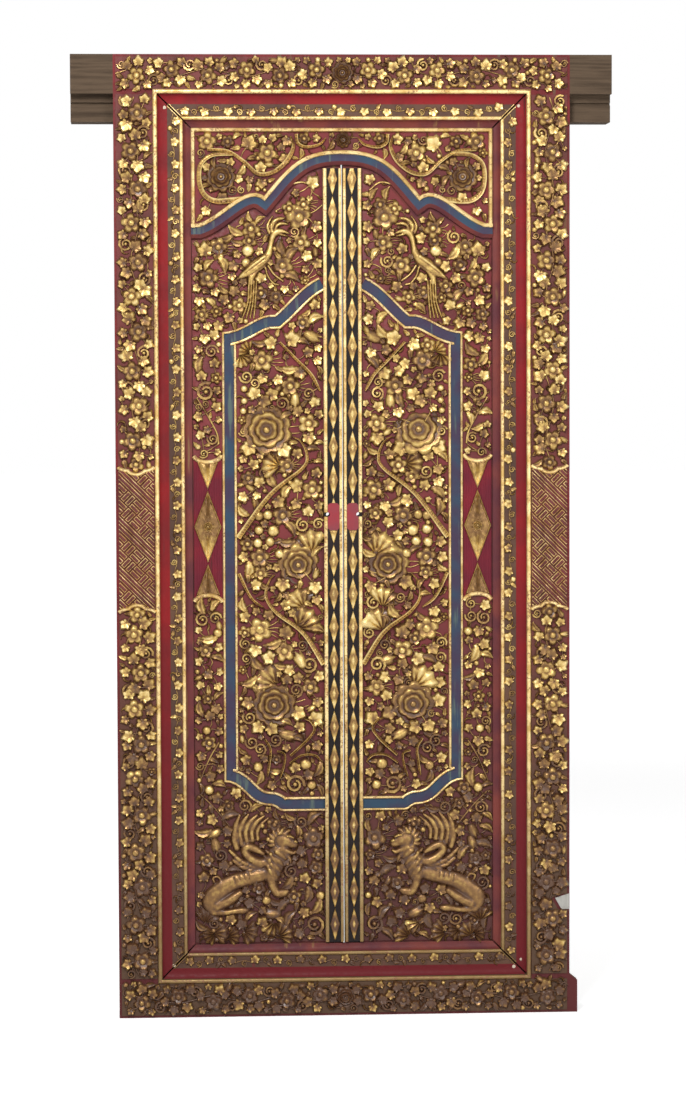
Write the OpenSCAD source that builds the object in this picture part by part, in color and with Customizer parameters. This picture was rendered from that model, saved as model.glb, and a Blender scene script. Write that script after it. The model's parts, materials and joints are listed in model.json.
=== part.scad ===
// Two-leaf carved temple door in its pegged timber frame.
// Millimetres, +Z up, carved front towards -Y, origin at the middle of the sill's underside.

/* [Frame] */
// Width of the frame across the two jambs
frame_w = 1088; // [1000:1:1200]
// Height of the frame, from the sill's underside to the lintel's top
frame_h = 2304; // [2100:1:2500]
// Depth of the frame timbers, front to back
frame_depth = 110; // [100:1:130]
// Width of a jamb's carved front
jamb_face = 104; // [95:1:115]
// Width of a jamb behind the mouldings
jamb_w = 159; // [150:1:165]
// Height of the lintel's proud carved front
lintel_face = 93; // [85:1:105]
// Height of the lintel behind the mouldings
lintel_h = 158; // [150:1:165]
// Height of the sill's proud carved front
sill_face = 93; // [85:1:105]
// Height of the sill behind the mouldings
sill_h = 148; // [140:1:155]
// Depth of the front rebate that the mouldings sit in
rebate = 30; // [28:1:34]
// How far each lintel horn runs past the jamb
horn_len = 101; // [60:1:140]
// Width and depth of the groove along a horn's lower half
horn_groove = 6; // [4:1:8]
// How far the sill's right end runs past the jamb
sill_lug = 19; // [5:1:40]
// Width of the gilded bead round the carved fronts
frame_bead = 11; // [8:1:14]
// Plain margin outside the carving
margin = 6; // [4:1:10]

/* [Frame joints] */
// Length of a jamb's tenon
tenon_len = 70; // [50:1:80]
// Width of a jamb's tenon
tenon_w = 90; // [60:1:100]
// Thickness of a jamb's tenon
tenon_t = 34; // [25:1:40]
// Room round a tenon in its mortise
tenon_fit = 0.25; // [0.1:0.05:0.5]
// Diameter of a frame peg
peg_d = 14; // [10:1:18]
// How far a peg runs in from the back
peg_len = 60; // [56:1:70]
// Room round a peg or nail in its hole
peg_fit = 0.15; // [0.1:0.05:0.3]
// Diameter of a moulding nail's filled head
nail_head_d = 8; // [6:0.5:10]
// Diameter of a moulding nail's shank
nail_d = 3.6; // [3:0.1:5]
// How far a moulding nail bites into the timber
nail_bite = 22; // [15:1:28]

/* [Mouldings] */
// Width of the red hollow next to the frame
hollow_w = 24; // [20:1:28]
// Width of the carved strip
strip_w = 28; // [24:1:32]
// Width of the gilded bead inside the strip
strip_bead = 9; // [7:1:11]
// Width of the cove at the opening
cove_w = 18; // [14:1:22]
// Thickness of a moulding at its outer edge
mould_t = 25; // [23:1:28]
// Thickness of a moulding under the carved strip
strip_t = 17; // [15:1:19]
// Thickness of a moulding's lip at the opening
lip_t = 6; // [5:0.5:8]

/* [Leaves] */
// Thickness of a leaf's plank
leaf_t = 40; // [34:1:44]
// Gap between the two leaves
meeting_gap = 5; // [4.5:0.5:8]
// Room above and below a leaf
leaf_play = 3; // [2:0.5:5]
// Room between a leaf's rounded edge and the jamb
edge_play = 3; // [2:0.5:5]
// Room between a leaf's plank and the mouldings
face_play = 2; // [1.5:0.5:4]
// Diameter of a leaf's pivot pins
pin_d = 28; // [22:1:32]
// Length of a leaf's pivot pins
pin_len = 45; // [30:1:55]
// Room round a pivot pin in its socket
pin_fit = 0.3; // [0.2:0.05:0.5]
// Room past the end of a pivot pin
pin_end = 1; // [0.5:0.5:3]

/* [Meeting strips] */
// Width of a meeting strip
stile_w = 43; // [38:1:48]
// Thickness of a meeting strip's black ground
stile_t = 12; // [10:1:14]
// Width of the gilded fillets along a meeting strip
stile_fillet = 8; // [6:1:10]
// Height of a diamond over the black ground
diamond_h = 4; // [3:0.5:5]
// Distance from one diamond to the next
diamond_pitch = 77; // [70:1:90]
// Height of the pull holes over the sill's underside
pull_z = 1209; // [1100:1:1300]
// Diameter of the pull holes
pull_d = 9.5; // [8:0.5:12]

/* [Spandrel] */
// Thickness of the spandrel at its gilded edge
spandrel_t = 19; // [17:1:22]
// Height of the spandrel over the top of its arch
arch_crown = 63; // [50:1:80]
// Rise of the arch from its ends to its top
arch_rise = 174; // [140:1:200]
// Width of the blue band under the arch's gilded edge
arch_band = 16; // [12:1:18]
// Width of the dark chamfer under the blue band
arch_chamfer = 9; // [6:1:12]
// Width of the spandrel's gilded fillets
spandrel_fillet = 10; // [8:1:12]
// Room between the arch and the leaves' carving
arch_play = 6; // [5:1:10]

/* [Carving] */
// Depth of the carving over its ground
relief = 11; // [8:1:14]
// How far the carved ground stands over the timber
ground = 2; // [1.5:0.5:3]
// Length of one running scroll on the frame
scroll_pitch = 165; // [130:1:200]
// Distance between the buds on the mouldings
bud_pitch = 84; // [60:1:100]

/* [Hidden] */
$fn = 48;

gilt = "#c39a48";
crimson = "#7d2a2e";
red_paint = "#97262a";
raw_wood = "#8d7a68";
black_paint = "#241d1a";
filler = "#d8cbb4";

// How far the carved skins are let into the timber, so that each is one solid with it
bed = 1;
// Overshoot of a cutting shape past the face that it cuts
over = 1;
// Wood behind a tenon, up to the timbers' back
tenon_back = 16;
// Height of a horn's groove over the lintel's underside
groove_up = 40;
// Room between a meeting strip and the carving beside it
strip_play = 0.5;
// How far the arch falls across the two meeting strips
arch_fall = 2;
// Plain edge between a gilded bead and the carving beside it
carve_edge = 1;
// Room for the middle flower between the lintel's or sill's two scrolls, and past their ends
scroll_gap = 14;
scroll_end = 4;
// Bars at the ends of a jamb's fret, and the room between a bar and the scroll
fret_bar = 6;
fret_gap = 8;
// Plain ends and edges of a moulding's carved strip
bud_end = 4;
bud_edge = 1.5;
// How far a pull hole's middle is in from the outer fillet
pull_in = 1;
// Room beside a diamond of the meeting strips
diamond_play = 0.5;

half_w = frame_w / 2;
y_front = -frame_depth / 2;
y_back = frame_depth / 2;
y_rebate = y_front + rebate;
y_leaf = y_rebate + face_play;
y_pivot = y_leaf + leaf_t / 2;
mould_w = hollow_w + strip_w + strip_bead + cove_w;
face_in = half_w - jamb_face;
jamb_in = half_w - jamb_w;
open_half = face_in - mould_w;
z_head = frame_h - lintel_face;
z_lintel = frame_h - lintel_h;
open_bottom = sill_face + mould_w;
open_top = z_head - mould_w;
open_h = open_top - open_bottom;
pivot_a = jamb_in - edge_play - leaf_t / 2;
leaf_bottom = sill_h + leaf_play;
leaf_top = z_lintel - leaf_play;
leaf_edge = meeting_gap / 2;
tenon_a = (jamb_in + half_w) / 2;
tenon_y = y_back - tenon_t / 2 - tenon_back;
arch_spring = open_top - arch_crown - arch_rise;
arch_total = arch_band + arch_chamfer;
field_in = leaf_edge + stile_w + strip_play;
field_out = open_half - face_play;
field_bottom = open_bottom + leaf_play;
stile_top = open_top - arch_crown - arch_total - arch_play - arch_fall;

// Opening that the carving's places below were set out for
drawn_half = 361;
drawn_h = 1960;
drawn_crown = 63;

// Place on the left leaf: distance from the middle of the door and height over the opening's bottom
function spot(p) = [-p[0] * open_half / drawn_half, open_bottom + p[1] * open_h / drawn_h];
function spots(list) = [for (p = list) spot(p)];

// Curves
function bezier(p, t) =
    pow(1 - t, 3) * p[0] + 3 * pow(1 - t, 2) * t * p[1] + 3 * (1 - t) * t * t * p[2] + pow(t, 3) * p[3];
function curve(p, steps) = [for (i = [0:steps]) bezier(p, i / steps)];
function arc(centre, r, from, to, steps) =
    [for (i = [0:steps]) let (a = from + (to - from) * i / steps) centre + r * [cos(a), sin(a)]];
function heading(path, i) =
    let (d = path[min(i + 1, len(path) - 1)] - path[max(i - 1, 0)]) d / norm(d);
function fade(from, to, path) = [for (i = [0:len(path) - 1]) from + (to - from) * i / (len(path) - 1)];

// Half of the arch's gilded line, from the middle of the door outwards
function arch_point(p) = [p[0] * open_half, arch_spring + p[1] * arch_rise];
arch_lobe = [for (p = [[0, 1], [0.263, 1], [0.332, 0.805], [0.512, 0.356]]) arch_point(p)];
arch_wing = [for (p = [[0.512, 0.356], [0.623, 0.586], [0.776, 0.115], [0.945, 0]]) arch_point(p)];
arch_half = concat(curve(arch_lobe, 6), [for (i = [1:6]) bezier(arch_wing, i / 6)]);

// Cross-sections of carved ridges, as a share of half the width and of the height
crest = [[-1, 0], [0, 1], [1, 0]];
roll = [[-1, 0], [-0.45, 1], [0.45, 1], [1, 0]];

// Ridge with the given section along a path in the XY plane, standing on the carved ground
module ridge(path, widths, heights, section = crest) {
    m = len(section);
    n = len(path);
    points = [
        for (i = [0:n - 1])
            let (t = heading(path, i))
            for (s = section)
                [path[i][0] - t[1] * s[0] * widths[i], path[i][1] + t[0] * s[0] * widths[i],
                 s[1] == 0 ? 0 : ground + s[1] * heights[i]]
    ];
    sides = [
        for (i = [0:n - 2])
            for (j = [0:m - 1])
                let (k = (j + 1) % m)
                [i * m + j, i * m + k, (i + 1) * m + k, (i + 1) * m + j]
    ];
    start = [for (j = [m - 1:-1:0]) j];
    end = [for (j = [0:m - 1]) (n - 1) * m + j];
    polyhedron(points, concat([start], sides, [end]));
}

// Stem along a cubic curve, thinner towards its end
module stem(p, w, tip = 1.2, h = 0.6 * relief, steps = 3) {
    path = curve(p, steps);
    ridge(path, fade(w, tip, path), fade(h, 0.6 * h, path));
}

// Pointed leaf with its highest point on the midrib, growing along +X and bending sideways
module leaf(at, turn, l, bend = 0.15, h = relief) {
    half = 0.25 * l;
    points = [[0, 0, 0], [0.45 * l, (bend - 1) * half, 0], [l, -bend * half, 0], [0.45 * l, (bend + 1) * half, 0],
              [0.42 * l, bend * half, ground + h]];
    translate(at) rotate(turn) polyhedron(points, [[0, 1, 2, 3], [1, 0, 4], [2, 1, 4], [3, 2, 4], [0, 3, 4]]);
}

// Spray of three leaves from one stalk
module spray(at, turn, l) {
    leaf(at, turn + 48, 0.8 * l, 0.25);
    leaf(at, turn, l, 0);
    leaf(at, turn - 48, 0.8 * l, -0.25);
}

// Volute that winds inwards from its stalk
module volute(at, turn, r, hand = 1, steps = 5) {
    path = [
        for (i = [0:steps])
            let (t = i / steps, a = hand * 340 * t, q = r * (1 - 0.7 * t))
            [q * cos(a), q * sin(a)]
    ];
    translate(at) rotate(turn) ridge(path, fade(0.2 * r + 1, 0.12 * r + 0.6, path), fade(0.6 * relief, relief, path));
}

// Small flower: pointed petals that rise to a boss
module flower(at, r, petals = 4, h = relief) {
    n = 2 * petals;
    function out(i) = i % 2 == 0 ? r : 0.62 * r;
    rim = [for (i = [0:n - 1]) [out(i) * cos(180 * i / petals), out(i) * sin(180 * i / petals), 0]];
    sides = [for (i = [0:n - 1]) [(i + 1) % n, i, n]];
    translate(at) polyhedron(concat(rim, [[0, 0, ground + h]]), concat([[for (i = [0:n - 1]) i]], sides));
}

// Open flower with a raised rim of round petals, a sunk eye and a boss
module bloom(at, r, petals = 6, h = relief) {
    n = 2 * petals;
    function out(i) = i % 2 == 0 ? r : 0.8 * r;
    function rise(i) = ground + h * (i % 2 == 0 ? 0.7 : 0.5);
    rim = [for (i = [0:n - 1]) [out(i) * cos(180 * i / petals), out(i) * sin(180 * i / petals), 0]];
    lip = [for (i = [0:n - 1]) [0.8 * rim[i][0], 0.8 * rim[i][1], rise(i)]];
    walls = [for (i = [0:n - 1]) let (k = (i + 1) % n) [i, n + i, n + k, k]];
    bowl = [for (i = [0:n - 1]) [n + i, 2 * n, n + (i + 1) % n]];
    base = [for (i = [0:n - 1]) i];
    translate(at) polyhedron(concat(rim, lip, [[0, 0, ground + 0.3 * h]]), concat([base], walls, bowl));
}

// Large rosette: an open flower with a small one on its eye
module rosette(at, r) {
    bloom(at, r);
    translate([0, 0, 0.2 * relief]) flower(at, 0.45 * r, 4, 0.8 * relief);
}

// Four-sided diamond with its point over its middle
module diamond(at, w, l, h, base = 0) {
    points = [[w / 2, 0, 0], [0, l / 2, 0], [-w / 2, 0, 0], [0, -l / 2, 0], [0, 0, base + h]];
    faces = [[0, 1, 2, 3], [1, 0, 4], [2, 1, 4], [3, 2, 4], [0, 3, 4]];
    translate(at) polyhedron(points, faces);
}

// Puts what is drawn in the XY plane on an upright face that looks to -Y
module on_face(y) {
    translate([0, y, 0]) rotate([90, 0, 0]) children();
}

// Carved ground with the outline of its first child, with the others standing on it and trimmed to it
module carved_skin(w) {
    resize([w, 0, 0]) union() {
        translate([0, 0, -bed]) linear_extrude(bed + ground) children(0);
        intersection() {
            linear_extrude(ground + 2 * relief) children(0);
            union() children([1:$children - 1]);
        }
    }
}

// Running scroll along +X, as long as it is told and centred on the X axis
module running_scroll(length, width) {
    units = max(2, round(length / scroll_pitch));
    step = length / units;
    r = min(0.4 * width, 0.42 * step);
    for (i = [0:units - 1]) {
        side = i % 2 == 0 ? 1 : -1;
        middle = [(i + 0.5) * step, 0];
        volute(middle, -side * 150, r, side);
        diamond(concat(middle, 0), 0.5 * r, 0.5 * r, relief, ground);
        leaf(middle + [0.42 * step, side * 0.4 * width], side * 235, 0.5 * width, side * 0.3);
        leaf(middle + [-0.44 * step, -side * 0.42 * width], side * 55, 0.42 * width, -side * 0.3);
    }
}

// Diagonal fret of nested diamonds in the middle of a jamb, along +X
module fret(length, width) {
    count = 3;
    step = length / count;
    for (i = [0:count - 1]) {
        translate([(i + 0.5) * step, 0, 0]) linear_extrude(ground + 0.6 * relief) difference() {
            polygon([[step / 2, 0], [0, width / 2], [-step / 2, 0], [0, -width / 2]]);
            polygon([[step / 3, 0], [0, width / 3], [-step / 3, 0], [0, -width / 3]]);
        }
        diamond([(i + 0.5) * step, 0, 0], 0.42 * step, 0.42 * width, 0.7 * relief, ground);
    }
    for (x = [0, length])
        translate([x - fret_bar / 2, -width / 2, 0]) cube([fret_bar, width, ground + 0.8 * relief]);
}

// Field with a scroll that grows both ways from the middle, as on the lintel and the sill
module cross_band_carving(y, z, w, h) {
    translate([0, 0, z]) on_face(y) carved_skin(w) {
        square([w, h], center = true);
        for (side = [0, 1]) mirror([side, 0, 0]) translate([scroll_gap, 0, 0])
            running_scroll(w / 2 - scroll_gap - scroll_end, h);
        flower([0, 0], 0.3 * h, 8);
    }
}

// Half-round bead along X or Z on the front of the timbers
module bead(from, length, along_x) {
    translate(from) rotate(along_x ? [0, 90, 0] : [0, 0, 0]) cylinder(d = frame_bead, h = length);
}

// Hole for a leaf's pivot pin, downwards from the origin
module socket() {
    depth = pin_len - leaf_play + pin_end;
    translate([0, 0, -depth]) cylinder(d = pin_d + 2 * pin_fit, h = depth + over);
}

// Tenon on the end of a jamb, upwards from the origin, or its mortise with room added
module tenon(room = 0) {
    translate([-tenon_w / 2 - room, tenon_y - tenon_t / 2 - room, -bed])
        cube([tenon_w + 2 * room, tenon_t + 2 * room, tenon_len + bed + room]);
}

// Holes in the lintel or sill for one jamb: mortise, peg hole and pivot socket, cut upwards from the origin
module end_holes() {
    translate([tenon_a, 0, 0]) tenon(tenon_fit);
    translate([tenon_a, 0, tenon_len / 2]) peg_hole();
    translate([pivot_a, y_pivot, 0]) mirror([0, 0, 1]) socket();
}

// Hole for a frame peg, from the back
module peg_hole() {
    translate([0, y_back - peg_len - peg_fit, 0]) rotate([-90, 0, 0])
        cylinder(d = peg_d + 2 * peg_fit, h = peg_len + peg_fit + over);
}

// Mirrored copies on both sides of the door's middle
module both_sides() {
    children();
    mirror([1, 0, 0]) children();
}

// Nail places: side of the door, distance in from the jamb's face, distance from the head or sill line, at the head
nail_places = [[-1, 18, 32, true], [1, 17, 27, true], [-1, 28, 31, false], [1, 12, 35, false], [1, 30, 17, false]];
function nail_at(n) = [n[0] * (face_in - n[1]), n[3] ? z_head - n[2] : sill_face + n[2]];
nail_seat = 0.7 * strip_t;
nail_top = strip_t;

// Holes for the moulding nails
module nail_holes() {
    for (n = nail_places) translate([nail_at(n)[0], y_rebate, nail_at(n)[1]]) rotate([90, 0, 0]) {
        translate([0, 0, nail_seat]) cylinder(d = nail_head_d + 2 * peg_fit, h = mould_t);
        translate([0, 0, -nail_bite - peg_fit]) cylinder(d = nail_d + 2 * peg_fit, h = nail_bite + nail_seat + over);
    }
}

// Moulding laid along X with its outer edge on the X axis and its back at y = 0, mitred at both ends
module moulding(length) {
    bead_start = hollow_w + strip_w;
    bead_mid = [bead_start + strip_bead / 2, strip_t];
    hollow = curve([[0, mould_t], [0.25 * hollow_w, strip_t], [0.6 * hollow_w, strip_t], [hollow_w, strip_t]], 5);
    cove_start = bead_start + strip_bead;
    cove = curve([[cove_start, strip_t], [cove_start + 0.15 * cove_w, 1.5 * lip_t],
                  [cove_start + 0.5 * cove_w, lip_t], [mould_w, lip_t]], 5);
    outline = concat([[0, 0]], hollow, arc(bead_mid, strip_bead / 2, 180, 0, 8), cove, [[mould_w, 0]]);
    intersection() {
        translate([-length / 2, 0, 0]) rotate([90, 0, 90]) linear_extrude(length)
            polygon([for (p = outline) [-p[1], -p[0]]]);
        translate([0, over, 0]) rotate([90, 0, 0]) linear_extrude(mould_t + strip_bead + over)
            polygon([[-length / 2, 0], [length / 2, 0],
                     [length / 2 - mould_w, -mould_w], [-length / 2 + mould_w, -mould_w]]);
    }
}

// Carved strip of a moulding: buds in pairs along a flat ground
module bud_strip(length) {
    run = length - 2 * (hollow_w + strip_w + bud_end);
    wide = strip_w - 2 * bud_edge;
    count = max(2, round(run / bud_pitch));
    step = run / count;
    translate([0, 0, -hollow_w - strip_w / 2]) on_face(-strip_t) carved_skin(run) {
        square([run, wide], center = true);
        for (i = [0:count - 1]) {
            x = (i + 0.5) * step - run / 2;
            side = i % 2 == 0 ? 1 : -1;
            translate([x, 0, 0]) rotate(side * 26) diamond([0, 0, 0], 0.7 * step, 0.5 * wide, 0.4 * relief, ground);
        }
    }
}

module lintel() {
    length = frame_w + 2 * horn_len;
    carve_h = lintel_face - frame_bead - margin;
    color(raw_wood) difference() {
        union() {
            translate([-length / 2, 0, 0]) rotate([90, 0, 90]) linear_extrude(length) polygon([
                [y_rebate, z_lintel], [y_back, z_lintel], [y_back, frame_h],
                [y_front, frame_h], [y_front, z_head], [y_rebate, z_head]
            ]);
            bead([-face_in - frame_bead, y_front, z_head + frame_bead / 2], 2 * (face_in + frame_bead), true);
        }
        translate([0, 0, z_lintel]) both_sides() end_holes();
        both_sides() translate([half_w, y_rebate - over, z_lintel + groove_up])
            cube([horn_len + over, horn_groove + over, horn_groove]);
        nail_holes();
    }
    color(gilt) cross_band_carving(y_front, frame_h - margin - carve_h / 2, frame_w - 2 * margin, carve_h);
}

module sill() {
    carve_h = sill_face - frame_bead - margin;
    lug_slope = 0.8 * sill_lug;
    color(crimson) difference() {
        union() {
            translate([0, y_rebate, 0]) rotate([90, 0, 0]) linear_extrude(rebate) polygon([
                [-half_w, 0], [half_w + sill_lug, 0], [half_w + sill_lug, sill_face - lug_slope],
                [half_w, sill_face], [-half_w, sill_face]
            ]);
            translate([-half_w, y_rebate, 0]) cube([frame_w, y_back - y_rebate, sill_h]);
            bead([-face_in - frame_bead, y_front, sill_face - frame_bead / 2], 2 * (face_in + frame_bead), true);
        }
        translate([0, 0, sill_h]) mirror([0, 0, 1]) both_sides() end_holes();
        nail_holes();
    }
    color(gilt) cross_band_carving(y_front, margin + carve_h / 2, frame_w - 2 * margin, carve_h);
}

// Left-hand piece as drawn, or its mirror image on the right of the door
module on_side(side) {
    if (side > 0) mirror([1, 0, 0]) children();
    else children();
}

module jamb(side) {
    on_side(side) {
        color(crimson) difference() {
            union() {
                translate([-half_w, y_rebate, sill_h]) cube([jamb_w, y_back - y_rebate, z_lintel - sill_h]);
                translate([-half_w, y_front, sill_face]) cube([jamb_face, rebate, z_head - sill_face]);
                bead([-face_in - frame_bead / 2, y_front, sill_face], z_head - sill_face, false);
                translate([-tenon_a, 0, z_lintel]) tenon();
                translate([-tenon_a, 0, sill_h]) mirror([0, 0, 1]) tenon();
            }
            for (z = [z_lintel + tenon_len / 2, sill_h - tenon_len / 2]) translate([-tenon_a, 0, z]) peg_hole();
        }
        color(gilt) jamb_carving(side > 0);
    }
}

// Carving of a jamb: a fret in the middle, with a scroll above it and below it. The right one has a broken corner.
fret_len = 355;
chip_up = 156;
chip = [[-5, 28], [-37, 39], [-39, 0], [-21, 0]];
module jamb_carving(chipped) {
    w = jamb_face - frame_bead - margin - carve_edge;
    h = z_head - sill_face - 4 * carve_edge;
    scroll_len = (h - fret_len) / 2 - 2 * fret_gap;
    middle = [-half_w + margin + w / 2, 0, (sill_face + z_head) / 2];
    translate(middle) on_face(y_front) carved_skin(w) {
        difference() {
            square([w, h], center = true);
            if (chipped) translate([0, chip_up - h / 2]) polygon(chip);
        }
        rotate(90) {
            translate([-fret_len / 2, 0, 0]) fret(fret_len, w - fret_bar);
            for (end = [0, 1]) mirror([end, 0, 0]) translate([fret_len / 2 + fret_gap, 0, 0])
                running_scroll(scroll_len, w);
        }
    }
}

module cross_moulding() {
    color(red_paint) moulding(2 * face_in);
    color(gilt) bud_strip(2 * face_in);
}

module head_moulding() {
    translate([0, y_rebate, z_head]) cross_moulding();
}

module sill_moulding() {
    difference() {
        translate([0, y_rebate, sill_face]) mirror([0, 0, 1]) cross_moulding();
        nail_holes();
    }
}

module side_moulding(side) {
    length = z_head - sill_face;
    middle = [-face_in, y_rebate, (z_head + sill_face) / 2];
    color(red_paint) difference() {
        on_side(side) translate(middle) rotate([0, -90, 0]) moulding(length);
        nail_holes();
    }
    color(gilt) on_side(side) translate(middle) rotate([0, -90, 0]) bud_strip(length);
}

// Sheet above the arch's gilded line, drawn in the XY plane
module spandrel_sheet() {
    left = [for (p = arch_half) [-p[0], p[1]]];
    right = [for (i = [len(arch_half) - 1:-1:1]) arch_half[i]];
    polygon(concat([[-open_half, open_top], [open_half, open_top], [open_half, arch_spring]],
                   right, left, [[-open_half, arch_spring]]));
}

// The same sheet let down by the given width, within the opening
module lowered_sheet(by) {
    intersection() {
        offset(r = by, $fn = 32) spandrel_sheet();
        translate([-open_half, 0]) square([2 * open_half, open_top]);
    }
}

// Carving of the left half of the spandrel: scrolls, flowers and leaves, by distance out and distance down
spandrel_scrolls = [[299, 108, 46, 60, -1], [178, 60, 44, -120, 1], [72, 36, 28, 200, -1], [240, 148, 12, 0, 1]];
spandrel_flowers = [[299, 108, 21], [178, 60, 18], [72, 36, 12], [326, 30, 18], [268, 30, 12], [232, 34, 11]];
spandrel_leaves = [
    [326, 178, 30, -80], [318, 165, 62, -4], [200, 122, 34, 150], [210, 78, 30, -20], [150, 82, 30, 40],
    [118, 22, 28, 170], [250, 110, 40, 20], [30, 30, 26, 90], [345, 70, 24, 80], [128, 50, 26, 250]
];
function hung(p) = [-p[0] * open_half / drawn_half, open_top - p[1] * arch_crown / drawn_crown];

module spandrel_carving() {
    inner = spandrel_t - ground - relief;
    on_face(y_rebate - inner) carved_skin(2 * (open_half - spandrel_fillet + bed)) {
        offset(delta = -spandrel_fillet + bed) spandrel_sheet();
        for (side = [0, 1]) mirror([side, 0, 0]) {
            for (s = spandrel_scrolls) volute(hung(s), s[3], s[2], s[4]);
            for (f = spandrel_flowers) flower(hung(f), f[2], 5);
            for (l = spandrel_leaves) leaf(hung(l), l[3], l[2]);
        }
        flower([0, open_top - 0.55 * arch_crown], 0.28 * arch_crown, 8);
    }
}

module spandrel() {
    step = (spandrel_t - lip_t) / 2;
    color(crimson) on_face(y_rebate) {
        linear_extrude(lip_t) lowered_sheet(arch_total);
        linear_extrude(lip_t + step) lowered_sheet(arch_band);
        linear_extrude(spandrel_t) difference() {
            spandrel_sheet();
            offset(delta = -spandrel_fillet) spandrel_sheet();
        }
    }
    color(gilt) spandrel_carving();
}

// Places on the left leaf, by distance from the middle of the door and height over the opening's bottom
big_rosettes = [[183, 1241, 45], [109, 917, 38], [169, 578, 41]];
flowers = [
    [102, 1747, 24], [88, 1784, 14], [99, 1689, 17], [142, 1640, 18], [219, 1721, 17],
    [222, 1682, 15], [296, 1677, 16], [322, 1603, 20], [86, 1632, 14],
    [193, 1410, 21], [126, 1344, 20], [82, 1255, 19], [176, 1158, 16], [133, 1158, 15],
    [75, 1097, 19], [145, 1030, 20], [202, 933, 20], [104, 840, 13], [205, 770, 20],
    [142, 708, 19], [80, 621, 17],
    [330, 518, 14], [300, 345, 13], [62, 190, 15], [75, 254, 20], [174, 62, 14],
    [318, 269, 11]
];
leaves = [
    [66, 1815, 40, 70], [70, 1722, 34, -10], [327, 1663, 30, 200], [183, 1590, 30, -60],
    [330, 1464, 34, 130], [310, 1464, 34, 60],
    [305, 1195, 28, 30], [166, 1450, 34, 60], [75, 1440, 36, 90],
    [212, 1280, 44, 120], [183, 1292, 50, 90], [154, 1280, 44, 60], [218, 1200, 40, -115], [146, 1200, 38, -60],
    [82, 1230, 28, -90], [159, 1056, 32, 90], [138, 878, 38, -130],
    [80, 880, 38, -60], [92, 780, 36, 60], [140, 684, 34, -100], [208, 744, 32, -100],
    [186, 624, 44, 110], [152, 624, 44, 75],
    [214, 585, 30, 160], [126, 561, 34, -30], [198, 540, 34, -120], [172, 534, 34, -80],
    [330, 657, 30, 100], [322, 549, 32, 70], [300, 427, 28, 60],
    [315, 14, 30, 90], [264, 14, 30, 90], [225, 16, 30, 90], [140, 14, 30, 100], [142, 200, 34, 0]
];
sprays = [[128, 1446, 50, 80], [92, 955, 42, 60], [185, 840, 48, 100], [70, 530, 46, 100], [306, 1305, 34, -90]];
volutes = [
    [82, 1322, 17, 90, 1], [330, 1312, 22, 160, 1],
    [84, 677, 17, 200, 1], [118, 386, 24, 150, -1], [76, 45, 24, 170, 1]
];
stems = [
    [[97, 1147], [145, 1094], [195, 1082], [250, 985], 3, 9],
    [[181, 825], [160, 780], [110, 760], [48, 691], 4, 7], [[87, 500], [95, 470], [110, 458], [128, 446], 6, 2],
    [[350, 1316], [330, 1275], [298, 1250], [293, 1205], 2, 4],
    [[291, 489], [310, 460], [335, 430], [350, 391], 2, 5],
    [[130, 1805], [115, 1838], [75, 1838], [62, 1795], 4, 4],
    [[346, 365], [345, 320], [310, 300], [270, 278], 3, 3]
];

// Bird on the leaf's upper field: crest, neck and body, tail and legs
bird_body = [[150, 1738], [166, 1727], [175, 1695], [180, 1665], [205, 1632], [240, 1612], [262, 1606]];
bird_widths = [3, 12, 7, 13, 22, 17, 6];
module bird() {
    ridge(spots(bird_body), bird_widths, relief * [0.5, 0.9, 0.8, 1, 1.15, 1, 0.5], roll);
    leaf(spot([166, 1735]), 110, 30);
    leaf(spot([170, 1735]), 150, 24);
    for (i = [-1:1])
        stem(spots([[208, 1615], [208 + 5 * i, 1580], [212 + 9 * i, 1550], [226 + 12 * i, 1516]]), 4, 3, steps = 2);
    stem(spots([[190, 1625], [186, 1606], [162, 1600], [138, 1590]]), 3, 2, steps = 2);
    leaf(spot([196, 1640]), 160, 46, -0.2, 1.4 * relief);
}

// Seated winged lion on the leaf's lower field
lion_back = [[316, 92], [305, 118], [280, 146], [245, 168], [205, 182], [180, 190]];
lion_neck = [[186, 176], [172, 214], [160, 238], [142, 252], [122, 250]];
lion_thigh = [[296, 88], [272, 112], [248, 116], [236, 104]];
lion_foot = [[300, 84], [280, 76], [256, 80], [238, 84]];
lion_foreleg = [[184, 176], [180, 152], [168, 134], [146, 122]];
module lion() {
    ridge(spots(lion_back), [22, 30, 25, 20, 20, 15], relief * [0.8, 1.1, 1.1, 1, 1, 0.8], roll);
    ridge(spots(lion_neck), [15, 16, 19, 23, 11], relief * [1, 1.1, 1.2, 1.3, 0.9], roll);
    ridge(spots(lion_thigh), [10, 17, 15, 8], relief * [1, 1.35, 1.3, 0.9], roll);
    ridge(spots(lion_foot), [8, 8, 7, 5], relief * [0.8, 0.9, 0.9, 0.7]);
    ridge(spots(lion_foreleg), [9, 8, 8, 10], relief * [1.2, 1.1, 1, 0.9]);
    volute(spot([214, 226]), -60, 20, -1);
    for (i = [0:2]) leaf(spot([214 + 6 * i, 204 + 9 * i]), 168 - 12 * i, 60 - 6 * i, 0.1);
    for (i = [0:2]) leaf(spot([250 - 17 * i, 248 + 4 * i]), 112 - 13 * i, 64, -0.25);
    for (turn = [70, 120]) leaf(spot([150, 276]), turn, 30, 0.2, 1.2 * relief);
    stem(spots([[332, 110], [352, 150], [318, 170], [312, 140]]), 4, 3);
}

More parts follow.
